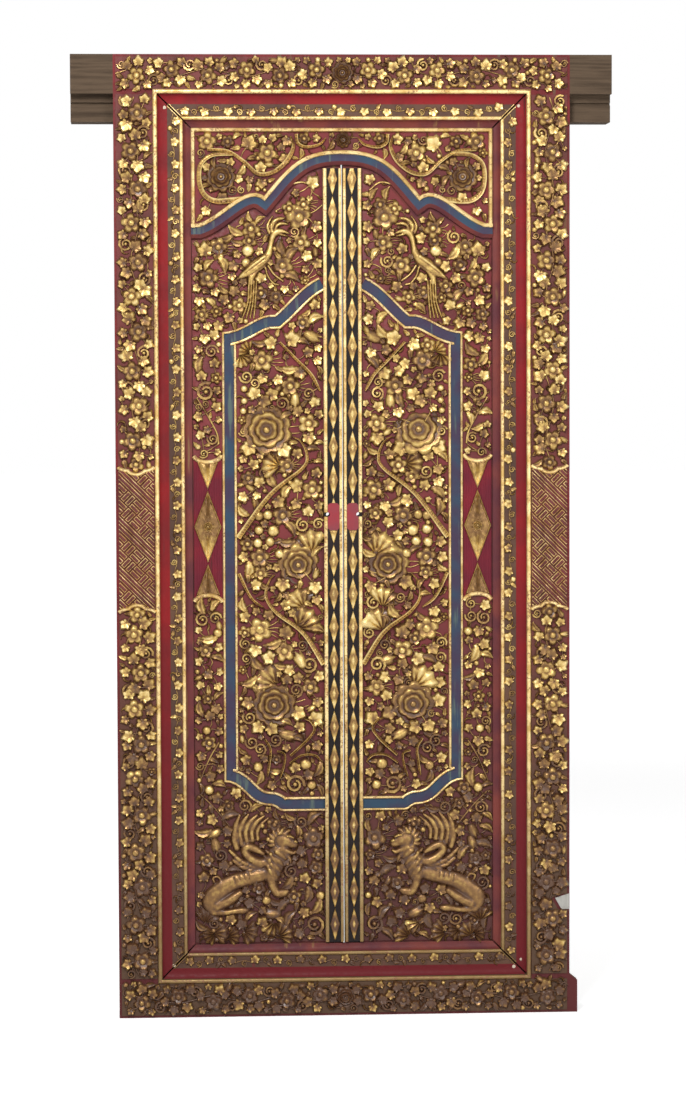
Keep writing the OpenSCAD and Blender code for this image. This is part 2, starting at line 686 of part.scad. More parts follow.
// Outline of the cartouche that frames the leaf's long field
cartouche_top = [[20, 1616], [88, 1606], [122, 1548], [162, 1516]];
cartouche_shoulder = [[162, 1516], [208, 1520], [234, 1476], [289, 1475]];
cartouche_foot = [[289, 393], [238, 393], [238, 334], [173, 334]];
cartouche_toe = [[173, 334], [160, 330], [158, 321], [146, 321]];
cartouche_fillet = 8.5;
cartouche_band = 17.6;
module cartouche_sheet() {
    polygon(concat(curve(spots(cartouche_top), 5), curve(spots(cartouche_shoulder), 5),
                   curve(spots(cartouche_foot), 5), curve(spots(cartouche_toe), 2), [spot([20, 321])]));
}

// Ring inside the cartouche's outline, from one distance in to another
module cartouche_ring(from, to) {
    difference() {
        offset(delta = -from) cartouche_sheet();
        offset(delta = -to) cartouche_sheet();
    }
}

module cartouche() {
    inner = cartouche_fillet + cartouche_band;
    linear_extrude(ground + 0.75 * relief) {
        cartouche_ring(0, cartouche_fillet);
        cartouche_ring(inner, inner + cartouche_fillet);
    }
}

// Plain panel at the leaf's hinge side: diamonds between two gilded arcs
side_mid = 325;
side_half = 34;
diamond_mid = 998;
diamond_len = 166;
module side_panel() {
    for (p = [[1176, -24], [806, 28]]) {
        path = [for (i = [-3:3]) spot([side_mid - side_half * i / 3, p[0] + p[1] * (1 - i * i / 9)])];
        ridge(path, fade(5, 5, path), fade(0.6 * relief, 0.6 * relief, path));
    }
    diamond(concat(spot([side_mid, diamond_mid]), 0), 2 * side_half, diamond_len, 0.6 * relief, ground);
    for (end = [-1, 1]) intersection() {
        diamond(concat(spot([side_mid, diamond_mid + end * diamond_len]), 0), 1.8 * side_half, diamond_len,
                0.6 * relief, ground);
        translate(concat(spot([side_mid, diamond_mid + end * 0.7 * diamond_len]), relief))
            cube([2 * side_half, 0.4 * diamond_len, 3 * relief], center = true);
    }
}

// Carved part of the left leaf's front, under the arch and beside the meeting strip
module leaf_field() {
    difference() {
        translate([-field_out, field_bottom]) square([field_out - field_in, open_top - field_bottom]);
        offset(delta = arch_total + arch_play) spandrel_sheet();
    }
}

module leaf_carving() {
    on_face(y_leaf) carved_skin(field_out - field_in) {
        leaf_field();
        union() {
            cartouche();
            side_panel();
            bird();
            lion();
            for (p = big_rosettes) rosette(spot(p), p[2]);
            for (p = flowers) flower(spot(p), p[2]);
            for (p = leaves) leaf(spot(p), p[3], p[2]);
            for (p = sprays) spray(spot(p), p[3], p[2]);
            for (p = volutes) volute(spot(p), p[3], p[2], p[4]);
            for (p = stems) stem(spots([p[0], p[1], p[2], p[3]]), p[4], p[5]);
        }
    }
}

// Pull hole through the left leaf and its meeting strip
module pull_hole() {
    translate([-leaf_edge - stile_w + stile_fillet + pull_in, y_leaf + leaf_t + over, pull_z]) rotate([90, 0, 0])
        cylinder(d = pull_d, h = leaf_t + 3 * stile_t);
}

module door_leaf(side) {
    on_side(side) {
        color(crimson) difference() {
            union() {
                translate([-pivot_a, y_leaf, leaf_bottom])
                    cube([pivot_a - leaf_edge, leaf_t, leaf_top - leaf_bottom]);
                translate([-pivot_a, y_pivot, leaf_bottom]) cylinder(d = leaf_t, h = leaf_top - leaf_bottom);
                translate([-pivot_a, y_pivot, leaf_bottom - pin_len])
                    cylinder(d = pin_d, h = leaf_top - leaf_bottom + 2 * pin_len);
            }
            pull_hole();
        }
        color(gilt) leaf_carving();
    }
}

// Meeting strip: black ground between two gilded fillets, diamonds and a blank red cartouche by the pull hole
plate_w = 22;
plate_h = 66;
plate_drop = 6;
module meeting_strip(side) {
    left = -leaf_edge - stile_w;
    mid = left + stile_w / 2;
    plate_z = pull_z - plate_drop;
    gap = stile_w - 2 * stile_fillet - 2 * diamond_play;
    above = floor((stile_top - plate_z - plate_h / 2) / diamond_pitch);
    below = floor((plate_z - plate_h / 2 - field_bottom) / diamond_pitch);
    on_side(side) {
        color(black_paint) difference() {
            union() {
                translate([left, y_leaf - stile_t, field_bottom]) cube([stile_w, stile_t, stile_top - field_bottom]);
                for (x = [left + stile_fillet / 2, -leaf_edge - stile_fillet / 2])
                    translate([x, y_leaf - stile_t, field_bottom])
                        cylinder(d = stile_fillet, h = stile_top - field_bottom);
                translate([mid, y_leaf - stile_t + over, plate_z]) rotate([90, 0, 0])
                    linear_extrude(over + diamond_h / 2) {
                        square([plate_w, plate_h - plate_w], center = true);
                        for (end = [-1, 1]) translate([0, end * (plate_h - plate_w) / 2]) circle(d = plate_w);
                    }
            }
            pull_hole();
        }
        color(gilt) {
            for (i = [1:above]) strip_diamond(mid, plate_z + plate_h / 2 + (i - 0.5) * diamond_pitch, gap);
            for (i = [1:below]) strip_diamond(mid, plate_z - plate_h / 2 - (i - 0.5) * diamond_pitch, gap);
        }
    }
}

// One gilded diamond of a meeting strip, with a boss on its middle
module strip_diamond(x, z, w) {
    translate([x, 0, z]) on_face(y_leaf - stile_t + over) {
        diamond([0, 0, 0], w, 0.94 * diamond_pitch, diamond_h, over);
        cylinder(d = 0.26 * w, h = over + 1.1 * diamond_h);
    }
}

module moulding_nails() {
    color(filler) for (n = nail_places) translate([nail_at(n)[0], y_rebate, nail_at(n)[1]]) rotate([90, 0, 0]) {
        translate([0, 0, -nail_bite]) cylinder(d = nail_d, h = nail_bite + nail_seat + over);
        translate([0, 0, nail_seat]) cylinder(d = nail_head_d, h = nail_top - nail_seat);
    }
}

module frame_pegs() {
    color(raw_wood) for (x = [-tenon_a, tenon_a], z = [z_lintel + tenon_len / 2, sill_h - tenon_len / 2])
        translate([x, y_back - peg_len, z]) rotate([-90, 0, 0]) cylinder(d = peg_d, h = peg_len);
}

lintel();
sill();
jamb(-1);  // left_jamb
jamb(1);  // right_jamb
head_moulding();
sill_moulding();
side_moulding(-1);  // left_moulding
side_moulding(1);  // right_moulding
spandrel();
door_leaf(-1);  // left_leaf
door_leaf(1);  // right_leaf
meeting_strip(-1);  // left_meeting_strip
meeting_strip(1);  // right_meeting_strip
moulding_nails();
frame_pegs();
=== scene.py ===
"""Looks of a carved and gilded temple door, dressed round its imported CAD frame."""

import json
import logging
import math
from collections.abc import Callable, Sequence
from dataclasses import dataclass, field
from enum import Enum, IntEnum

import bmesh
import bpy
import numpy as np
from mathutils import Matrix, Vector

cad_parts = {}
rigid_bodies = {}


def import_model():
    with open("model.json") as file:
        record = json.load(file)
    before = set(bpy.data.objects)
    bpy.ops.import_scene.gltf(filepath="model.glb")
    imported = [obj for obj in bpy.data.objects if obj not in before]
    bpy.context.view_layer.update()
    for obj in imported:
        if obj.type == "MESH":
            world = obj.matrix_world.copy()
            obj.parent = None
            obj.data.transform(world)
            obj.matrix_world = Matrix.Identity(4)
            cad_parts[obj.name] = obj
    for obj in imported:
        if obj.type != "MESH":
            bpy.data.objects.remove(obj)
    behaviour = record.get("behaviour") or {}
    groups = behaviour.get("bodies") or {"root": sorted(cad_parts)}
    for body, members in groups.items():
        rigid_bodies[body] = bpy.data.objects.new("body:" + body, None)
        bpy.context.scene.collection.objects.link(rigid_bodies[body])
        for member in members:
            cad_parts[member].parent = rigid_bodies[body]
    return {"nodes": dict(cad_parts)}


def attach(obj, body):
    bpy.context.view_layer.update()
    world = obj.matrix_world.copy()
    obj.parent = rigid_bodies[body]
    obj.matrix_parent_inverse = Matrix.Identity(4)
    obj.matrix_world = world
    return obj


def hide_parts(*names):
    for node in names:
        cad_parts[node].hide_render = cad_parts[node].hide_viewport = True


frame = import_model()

log = logging.getLogger("temple_door")
MM = 0.001
TINY = 1e-12
SKIN = 0.2
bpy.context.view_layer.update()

Point = tuple[float, float]
Colour = tuple[float, float, float]
Box = tuple[float, float, float, float]
Limb = Sequence[tuple[float, float, float, float]]
LineRow = tuple[Sequence[Point], float, float]


class Motif(IntEnum):
    """Carved motifs that the fields are filled with."""

    ROSETTE = 0
    FLOWER = 1
    LEAF = 2
    ACANTHUS = 3
    TREFOIL = 4
    CURL = 5
    BERRY = 6
    BUD = 7
    FAN = 8
    COMMA = 9


class Side(Enum):
    """Half of the door, with the sign of its X coordinates."""

    LEFT = -1
    RIGHT = 1

    @property
    def word(self) -> str:
        """Name of the side as the CAD nodes have it."""
        return self.name.lower()


MotifRow = tuple[Motif, float, float, float]


# Shapes


@dataclass
class Shape:
    """Closed mesh in millimetres: along the wall, up the wall, and out of the wall."""

    verts: np.ndarray
    faces: list[tuple[int, ...]]
    paint: list[int]

    @staticmethod
    def joined(shapes: Sequence["Shape"]) -> "Shape":
        """One shape that holds all the given ones.

        Args:
            shapes: Shapes in the same coordinates.

        Returns:
            The joined shape.
        """
        faces: list[tuple[int, ...]] = []
        paint: list[int] = []
        start = 0
        for shape in shapes:
            faces += [tuple(i + start for i in f) for f in shape.faces]
            paint += shape.paint
            start += len(shape.verts)
        return Shape(np.concatenate([s.verts for s in shapes]), faces, paint)

    def moved(
        self, along: float, up: float, turn: float = 0.0, size: float = 1.0, rise: float = 1.0
    ) -> "Shape":
        """A copy turned, scaled and set at a place on the wall.

        Args:
            along: Place along the wall.
            up: Place up the wall.
            turn: Turn in degrees, anticlockwise from the front.
            size: Scale in the plane of the wall.
            rise: Scale out of the wall.

        Returns:
            The placed copy.
        """
        c, s = math.cos(math.radians(turn)), math.sin(math.radians(turn))
        x, z, h = self.verts.T
        placed = np.stack([along + size * (c * x - s * z), up + size * (s * x + c * z), rise * h], axis=1)
        return Shape(placed, self.faces, self.paint)

    def mirrored(self, side: Side) -> "Shape":
        """The shape as drawn for the right half, or its mirror image for the left one.

        Args:
            side: Half of the door that the shape goes to.

        Returns:
            The shape for that half.
        """
        if side is Side.RIGHT:
            return self
        return Shape(self.verts * [-1, 1, 1], [f[::-1] for f in self.faces], self.paint)

    def to_object(
        self, name: str, wall: float, finishes: Sequence[bpy.types.Material],
        crease: float = 35.0, relief: float = 0.0,
    ) -> bpy.types.Object:
        """A Blender object of the shape, standing on an upright plane that looks to -Y.

        Args:
            name: Name of the piece.
            wall: Y of the plane that heights are measured from.
            finishes: Materials, in the order of the shape's paint numbers.
            crease: Angle in degrees past which an edge is sharp.
            relief: Height at which the painted highlight on the gilding is brightest, or 0 for a piece that
                is even all over.

        Returns:
            The linked object, at the origin.
        """
        x, z, h = self.verts.T
        mesh = bpy.data.meshes.new(name)
        mesh.from_pydata((np.stack([x, wall - h, z], axis=1) * MM).tolist(), [], self.faces)
        mesh.polygons.foreach_set("material_index", self.paint)
        book = bmesh.new()
        book.from_mesh(mesh)
        bmesh.ops.recalc_face_normals(book, faces=book.faces)
        book.to_mesh(mesh)
        book.free()
        if relief:
            # Higher points get a lower depth, which the gilt finish paints as a brighter highlight.
            store(mesh, "depth", BED_DEPTH * np.clip(1 - h / relief, 0, 1))
            store(mesh, "tint", np.full(len(h), STEM_TONE))
        return linked(mesh, name, finishes, crease)


def added(name: str, data: bpy.types.ID) -> bpy.types.Object:
    """A new object of the given data, linked to the scene.

    Args:
        name: Name of the object.
        data: Mesh, curve, lamp or camera that it shows.

    Returns:
        The object.
    """
    item = bpy.data.objects.new(name, data)
    bpy.context.scene.collection.objects.link(item)
    return item


def store(mesh: bpy.types.Mesh, name: str, values: Sequence, kind: str = "FLOAT") -> None:
    """Writes an attribute of a mesh's points.

    Args:
        mesh: Mesh that carries the attribute.
        name: Name of the attribute, which is added where it is missing.
        values: One value or vector for each point.
        kind: Data type of the attribute.
    """
    known = mesh.attributes.get(name) or mesh.attributes.new(name, kind, "POINT")
    flat = np.ravel(np.asarray(values, np.int32 if kind == "INT" else np.float32))
    known.data.foreach_set("vector" if kind == "FLOAT_VECTOR" else "value", flat)


def linked(
    mesh: bpy.types.Mesh, name: str, finishes: Sequence[bpy.types.Material], crease: float
) -> bpy.types.Object:
    """A smooth-shaded object of a mesh, with its materials.

    Args:
        mesh: The mesh, in metres and in place.
        name: Name of the piece.
        finishes: Materials of the piece.
        crease: Angle in degrees past which an edge is sharp.

    Returns:
        The linked object.
    """
    for finish in finishes:
        mesh.materials.append(finish)
    mesh.polygons.foreach_set("use_smooth", [True] * len(mesh.polygons))
    mesh.set_sharp_from_angle(angle=math.radians(crease))
    return added(name, mesh)


def hand_over(piece: bpy.types.Object, body: str, slot: str, *nodes: str) -> None:
    """Parents a finished piece to the body that it rides on, hides the CAD nodes that it stands for, and logs
    its faces.

    Args:
        piece: The finished piece.
        body: Body that it moves with.
        slot: Not used.
        nodes: CAD nodes that it stands for.
    """
    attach(piece, body)
    if nodes:
        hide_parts(*nodes)
    log.info("%s: %d faces on %s", piece.name, len(piece.data.polygons), body)


def closed_sheet(top: np.ndarray, bed: float = 0.2) -> Shape:
    """Closed solid under a grid of top points.

    Args:
        top: Grid of points, with rows along X and columns along Y.
        bed: How far the underside lies below zero.

    Returns:
        The solid.
    """
    nu, nv = top.shape[:2]
    cell = np.arange(nu * nv).reshape(nu, nv)
    loop = [*cell[:, 0], *cell[-1, 1:], *cell[-2::-1, -1], *cell[0, -2:0:-1]]
    return _with_skirt(top.reshape(-1, 3), [
        (cell[i, j], cell[i + 1, j], cell[i + 1, j + 1], cell[i, j + 1])
        for i in range(nu - 1) for j in range(nv - 1)
    ], loop, bed)


def closed_disc(rings: np.ndarray, eye: float, bed: float = 0.2) -> Shape:
    """Closed solid under rings of points round a middle.

    Args:
        rings: Rings of points from the innermost outwards, each anticlockwise.
        eye: Height of the middle.
        bed: How far the underside lies below zero.

    Returns:
        The solid.
    """
    nr, nt = rings.shape[:2]
    cell = 1 + np.arange(nr * nt).reshape(nr, nt)
    faces = [(0, cell[0, j], cell[0, (j + 1) % nt]) for j in range(nt)]
    for i in range(nr - 1):
        for j in range(nt):
            k = (j + 1) % nt
            faces.append((cell[i, j], cell[i + 1, j], cell[i + 1, k], cell[i, k]))
    return _with_skirt(np.vstack([[0, 0, eye], rings.reshape(-1, 3)]), faces, list(cell[-1]), bed)


def _with_skirt(verts: np.ndarray, faces: list, loop: list, bed: float) -> Shape:
    """Adds side walls and an underside below a rim that runs anticlockwise.

    Args:
        verts: Points of the top.
        faces: Faces of the top.
        loop: Numbers of the rim's points.
        bed: How far the underside lies below zero.

    Returns:
        The closed solid.
    """
    n = len(verts)
    under = verts[loop].copy()
    under[:, 2] = -bed
    m = len(loop)
    walls = [(n + i, n + (i + 1) % m, loop[(i + 1) % m], loop[i]) for i in range(m)]
    faces = [tuple(int(i) for i in f) for f in [*faces, *walls, tuple(n + i for i in range(m - 1, -1, -1))]]
    return Shape(np.vstack([verts, under]), faces, [0] * len(faces))


def bezier(p: Sequence[Point], steps: int) -> np.ndarray:
    """Points along a cubic curve.

    Args:
        p: Four control points.
        steps: Number of steps.

    Returns:
        The points, ends included.
    """
    t = np.linspace(0, 1, steps + 1)[:, None]
    a, b, c, d = (np.array(q, float) for q in p)
    return (1 - t) ** 3 * a + 3 * (1 - t) ** 2 * t * b + 3 * (1 - t) * t**2 * c + t**3 * d


def smooth_path(points: Sequence[Point], steps: int = 4) -> np.ndarray:
    """A rounded line through the given points.

    Args:
        points: Points to pass through.
        steps: Steps between two points.

    Returns:
        The denser line.
    """
    p = np.array(points, float)
    p = np.vstack([2 * p[0] - p[1], p, 2 * p[-1] - p[-2]])
    t = np.linspace(0, 1, steps, endpoint=False)[:, None]
    runs = [
        0.5 * (2 * b + (c - a) * t + (2 * a - 5 * b + 4 * c - d) * t**2 + (3 * b - a - 3 * c + d) * t**3)
        for a, b, c, d in zip(p, p[1:], p[2:], p[3:])
    ]
    return np.vstack([*runs, p[-2]])


def offsets(path: np.ndarray, limit: float = 1.35) -> np.ndarray:
    """Vectors to the right of a line, long enough to keep a band's width at its corners.

    Args:
        path: Points of the line.
        limit: Longest vector at a sharp corner.

    Returns:
        One vector for each point.
    """
    run = np.diff(path, axis=0)
    run /= np.linalg.norm(run, axis=1)[:, None]
    right = np.stack([run[:, 1], -run[:, 0]], axis=1)
    mean = np.vstack([right[0], (right[:-1] + right[1:]) / 2, right[-1]])
    size = np.linalg.norm(mean, axis=1)[:, None]
    return mean / size * np.minimum(1 / size, limit)


def sweep(path: np.ndarray, across: np.ndarray, profile: Sequence[Point], paint: Sequence[int]) -> Shape:
    """Closed solid with a fixed section along a line.

    Args:
        path: Points of the line on the wall.
        across: Direction of the section at each point.
        profile: Closed section, as distance across and height.
        paint: Paint number of each side of the section.

    Returns:
        The solid.
    """
    n, m = len(path), len(profile)
    d, h = np.array(profile, float).T
    flat = path[:, None, :] + across[:, None, :] * d[None, :, None]
    verts = np.concatenate([flat, np.broadcast_to(h[None, :, None], (n, m, 1))], axis=2).reshape(-1, 3)
    faces: list[tuple[int, ...]] = []
    tones: list[int] = []
    for i in range(n - 1):
        for j in range(m):
            k = (j + 1) % m
            faces.append((i * m + j, (i + 1) * m + j, (i + 1) * m + k, i * m + k))
            tones.append(paint[j])
    faces += [tuple(range(m - 1, -1, -1)), tuple((n - 1) * m + j for j in range(m))]
    return Shape(verts, faces, tones + [paint[-1], paint[-1]])


def worked_bar(
    start: Point, end: Point, across: tuple[Point, Point],
    profile: Sequence[Point], paint: Sequence[int], seed: int,
) -> Shape:
    """Straight moulding with the slight waver of hand work.

    Args:
        start: One end of its outer edge.
        end: The other end.
        across: Direction of the section at the two ends, slanted for a mitre.
        profile: Closed section, as distance across and height.
        paint: Paint number of each side of the section.
        seed: Seed of the waver.

    Returns:
        The solid.
    """
    longest, sway, bed = 30.0, 0.1, 1.0
    a, b = np.array(start, float), np.array(end, float)
    steps = max(2, int(np.linalg.norm(b - a) / longest))
    t = np.linspace(0, 1, steps + 1)[:, None]
    turned = np.array(across[0]) * (1 - t) + np.array(across[1]) * t
    bar = sweep(a + (b - a) * t, turned, profile, paint)
    rng = np.random.default_rng(seed)
    waver = np.repeat(rng.normal(0, sway, (steps + 1, 1)), len(profile), axis=0)[:, 0]
    raised = bar.verts[:, 2] > bed
    bar.verts[:, 2] += np.where(raised, waver, 0)
    return bar


def prism(outline: np.ndarray, low: float, high: float) -> Shape:
    """Plate with the given outline between two heights.

    Args:
        outline: Corners of the outline, anticlockwise.
        low: Height of its underside.
        high: Height of its top.

    Returns:
        The plate.
    """
    n = len(outline)
    verts = np.vstack([np.c_[outline, np.full(n, low)], np.c_[outline, np.full(n, high)]])
    faces = [tuple(range(n - 1, -1, -1)), tuple(range(n, 2 * n))]
    faces += [(i, (i + 1) % n, n + (i + 1) % n, n + i) for i in range(n)]
    return Shape(verts, faces, [0] * len(faces))


def ridged_branch(line: np.ndarray, w0: float, w1: float, relief: float) -> Shape:
    """Tapered branch with a ridge along each edge and a notched body between them.

    Args:
        line: Points of its middle line.
        w0: Half width at the start.
        w1: Half width at the end.
        relief: Height of the ridges at the wide end.

    Returns:
        The branch.
    """
    section = [
        (-1, -0.15), (-0.97, 0.7), (-0.82, 1.0), (-0.48, 0.9), (-0.1, 0.74),
        (0.36, 0.68), (0.7, 0.92), (0.95, 0.55), (1, -0.15),
    ]
    notch_pitch, notch = 3.4, 0.72
    run = np.r_[0, np.cumsum(np.linalg.norm(np.diff(line, axis=0), axis=1))]
    marks = np.linspace(0, run[-1], max(8, round(run[-1] / notch_pitch)))
    line = np.stack([np.interp(marks, run, axis) for axis in line.T], axis=1)
    share = np.linspace(0, 1, len(line))
    widths = (w0 + (w1 - w0) * share) * np.sqrt(np.clip((1.02 - share) / 0.2, 0.05, 1))
    branch = sweep(line, offsets(line) * widths[:, None], section, [0] * len(section))
    rise = np.repeat(relief * (0.55 + 0.45 * widths / max(w0, w1))[:, None], len(section), axis=1)
    rise[1::2, 4:6] *= notch
    branch.verts[:, 2] *= rise.ravel()
    return branch


def rect(x0: float, z0: float, x1: float, z1: float) -> np.ndarray:
    """Corners of an upright rectangle, anticlockwise."""
    return np.array([(x0, z0), (x1, z0), (x1, z1), (x0, z1)], float)


def half_round(start: float, base: float, r: float) -> list[Point]:
    """Section of a bead, from its first edge over its crown, at a place across and a height."""
    turns = [math.pi * i / 8 for i in range(9)]
    return [(start + r - r * math.cos(q), base + r * math.sin(q)) for q in turns]


def draped(x: np.ndarray, y: np.ndarray, z: np.ndarray) -> Shape:
    """Closed solid under a sheet, by the three coordinates of its points."""
    return closed_sheet(np.stack(np.broadcast_arrays(x, y, z), axis=2))


# Motif templates, one unit across or long and one unit high


def leaf_blade(lobes: int, width: float, nu: int, nv: int, bend: float) -> Shape:
    """Leaf along +X with a sunk midrib and lobed edges.

    Args:
        lobes: Lobes on each edge.
        width: Greatest width.
        nu: Points along the leaf.
        nv: Points across it.
        bend: Sideways bend of its midrib.

    Returns:
        The leaf, from 0 to 1 along X.
    """
    u, v = np.linspace(0, 1, nu)[:, None], np.linspace(-1, 1, nv)[None, :]
    half = width / 2 * np.maximum(np.sin(np.pi * u**0.75), 0) ** 0.7
    if lobes:
        half = half * (1 - 0.34 * np.cos(np.pi * lobes * u) ** 2)
    half = np.maximum(half, 0.025)
    crown = 0.34 + 0.66 * np.sin(np.pi * np.clip(u * 1.05, 0, 1) ** 0.8)
    x = u + 0.16 * np.abs(v) * np.sin(np.pi * u) * (0.9 - u)
    y = bend * np.sin(np.pi * u) + v * half
    z = crown * (1 - 0.62 * np.abs(v) ** 2.2) - 0.4 * np.exp(-((v / 0.22) ** 2)) * np.sin(np.pi * u)
    return draped(x, y, z)


def open_flower(
    petals: int, per_petal: int, rings: Sequence[tuple[float, float, float]], eye: float
) -> Shape:
    """Flower of cupped petals round a boss.

    Args:
        petals: Number of petals.
        per_petal: Points round the rim for each petal.
        rings: Share of the radius, height, and how strongly the petals part there, for each ring.
        eye: Height of the boss.

    Returns:
        The flower, with a radius of one.
    """
    nt = petals * per_petal
    a = np.arange(nt) * 2 * np.pi / nt
    lobe = np.abs(np.cos(petals * a / 2)) ** 0.7
    grid = []
    for share, height, parting in rings:
        r = share * (1 - 0.26 * parting * (1 - lobe))
        h = height * (1 - 0.55 * parting * (1 - lobe))
        grid.append(np.stack([r * np.cos(a), r * np.sin(a), h], axis=1))
    return closed_disc(np.array(grid), eye)


def layered_rosette() -> Shape:
    """Rose of three cupped rings of petals round a small boss.

    Returns:
        The rose, with a radius of one.
    """
    outer = open_flower(9, 4, [(0.64, 0.24, 0.0), (0.86, 0.6, 0.35), (1.0, 0.28, 0.65)], 0.24)
    middle = open_flower(7, 4, [(0.42, 0.34, 0.0), (0.6, 0.82, 0.3), (0.72, 0.42, 0.5)], 0.3)
    cup = open_flower(5, 4, [(0.22, 0.44, 0.0), (0.35, 1.0, 0.25), (0.46, 0.5, 0.4)], 0.4)
    return Shape.joined([outer, middle, cup, berry(9).moved(0, 0, size=0.17)])


def trefoil_leaf() -> Shape:
    """Broad leaf of five soft lobes that points along +X, with a radius of one.

    Returns:
        The leaf.
    """
    nt = 20
    a = np.arange(nt) * 2 * np.pi / nt
    off = (a + np.pi) % (2 * np.pi) - np.pi
    reach = 0.34 + 0.5 * np.clip(np.cos(0.62 * off), 0, 1) ** 2
    ridge = np.zeros(nt)
    for angle, length in ((0, 1.18), (54, 1.0), (-54, 1.0), (108, 0.7), (-108, 0.7)):
        lobe = np.clip(np.cos(2.7 * np.clip(off - math.radians(angle), -0.58, 0.58)), 0, 1)
        reach = np.maximum(reach, length * lobe**0.4)
        ridge = np.maximum(ridge, lobe)
    grid = []
    for share, height, sunk in ((0.36, 0.86, 0.4), (0.76, 1.0, 0.52), (1.0, 0.25, 0.0)):
        r = share * reach
        grid.append(np.stack([r * np.cos(a), r * np.sin(a), height * (1 - sunk * (1 - ridge))], axis=1))
    return closed_disc(np.array(grid), 0.5)


def spiral_curl(turns: float, steps: int, sides: int) -> Shape:
    """Tendril that winds in to a ball.

    Args:
        turns: Turns from its stalk to its middle.
        steps: Steps along it.
        sides: Sides of its section.

    Returns:
        The curl, with a radius of about one.
    """
    t = np.linspace(0, 1, steps + 1)
    a = 2 * np.pi * turns * t
    r = 0.82 - 0.5 * t
    mid = np.stack([r * np.cos(a), r * np.sin(a)], axis=1)
    thick = 0.24 - 0.09 * t
    out = np.stack([np.cos(a), np.sin(a)], axis=1)
    ring = np.linspace(0, np.pi, sides)
    verts = []
    for i in range(steps + 1):
        lift = 0.6 + 0.3 * t[i]
        for q in ring:
            height = -0.2 if q in (0, np.pi) else lift * math.sin(q)
            verts.append([*(mid[i] + out[i] * thick[i] * math.cos(q)), height])
    faces = [
        (i * sides + j, i * sides + (j + 1) % sides, (i + 1) * sides + (j + 1) % sides, (i + 1) * sides + j)
        for i in range(steps) for j in range(sides)
    ]
    faces += [tuple(range(sides - 1, -1, -1)), tuple(steps * sides + j for j in range(sides))]
    winding = Shape(np.array(verts), faces, [0] * len(faces))
    return Shape.joined([winding, berry(7).moved(0, 0, size=0.27)])


def berry(nt: int) -> Shape:
    """Round boss with a radius of one.

    Args:
        nt: Points round the boss.

    Returns:
        The boss.
    """
    a = np.arange(nt) * 2 * np.pi / nt
    rings = [(0.62, 0.8), (1.0, 0.1)]
    grid = [[(r * math.cos(q), r * math.sin(q), h) for q in a] for r, h in rings]
    return closed_disc(np.array(grid), 1.0)


def tulip_bud() -> Shape:
    """Bud along +X with a three-pointed mouth.

    Returns:
        The bud, about one unit long.
    """
    u, v = np.linspace(0, 1, 6)[:, None], np.array([-1, -0.5, 0, 0.5, 1])[None, :]
    half = 0.12 + 0.2 * np.sin(np.pi * (0.15 + 0.6 * u))
    mouth = np.array([0.02, -0.2, 0.06, -0.2, 0.02])[None, :]
    x = u + mouth * u**3
    crown = 0.5 + 0.5 * np.sin(np.pi * np.clip(u * 0.8 + 0.1, 0, 1))
    z = crown * (1 - 0.6 * v**2) - 0.18 * (np.abs(v) == 0.5) * u
    return draped(x, v * half, z)


def shell_fan(ribs: int) -> Shape:
    """Shell of ribs that spread along +X.

    Args:
        ribs: Number of ribs.

    Returns:
        The shell, about one unit long.
    """
    u, v = np.array([0.12, 0.4, 0.72, 1.0])[:, None], np.linspace(-1, 1, 2 * ribs + 1)[None, :]
    rib = np.where(np.arange(2 * ribs + 1) % 2 == 1, 1.0, 0.45)[None, :]
    r = u * (0.84 + 0.16 * rib)
    a = v * math.radians(68)
    z = rib * (0.55 + 0.45 * np.sin(np.pi * u * 0.8)) * (1.1 - 0.5 * u)
    return draped(r * np.cos(a) - 0.1, r * np.sin(a), z)


def comma_leaf() -> Shape:
    """Curved drop that tapers round an arc.

    Returns:
        The drop, about one unit long.
    """
    u, v = np.linspace(0, 1, 8)[:, None], np.array([-1, 0, 1])[None, :]
    a = math.radians(150) * u
    half = 0.2 * (1 - u) ** 0.6 * (0.55 + 0.45 * np.sin(np.pi * np.clip(u + 0.25, 0, 1))) + 0.02
    r = 0.5 - v * half
    z = np.where(v == 0, 1.0, 0.15) * (1 - 0.55 * u)
    return draped(r * np.sin(a), 0.5 - r * np.cos(a), z)


class MotifLibrary:
    """Template objects in one collection, in the order of the Motif numbers."""

    def __init__(self) -> None:
        """Builds one template for each motif."""
        self.collection = bpy.data.collections.new("motif_templates")
        single = [(0.2, 0.9, 0), (0.36, 0.42, 0.1), (0.68, 0.78, 0.8), (1, 0.36, 1)]
        shapes: dict[Motif, Shape] = {
            Motif.ROSETTE: layered_rosette(),
            Motif.FLOWER: open_flower(petals=5, per_petal=4, rings=single, eye=1.0),
            Motif.LEAF: leaf_blade(lobes=2, width=0.72, nu=8, nv=5, bend=0.05),
            Motif.ACANTHUS: leaf_blade(lobes=5, width=0.62, nu=12, nv=5, bend=0.18),
            Motif.TREFOIL: trefoil_leaf(),
            Motif.CURL: spiral_curl(turns=1.25, steps=13, sides=4),
            Motif.BERRY: berry(nt=8),
            Motif.BUD: tulip_bud(),
            Motif.FAN: shell_fan(ribs=5),
            Motif.COMMA: comma_leaf(),
        }
        for motif in Motif:
            shape = shapes[motif]
            mesh = bpy.data.meshes.new(f"motif_{motif:02d}")
            mesh.from_pydata(shape.verts.tolist(), [], shape.faces)
            mesh.polygons.foreach_set("use_smooth", [True] * len(mesh.polygons))
            mesh.set_sharp_from_angle(angle=math.radians(62))
            self.collection.objects.link(bpy.data.objects.new(mesh.name, mesh))

    def clear(self) -> None:
        """Deletes the templates once every field is carved."""
        for template in list(self.collection.objects):
            bpy.data.objects.remove(template)
        bpy.data.collections.remove(self.collection)


# Geometry Nodes


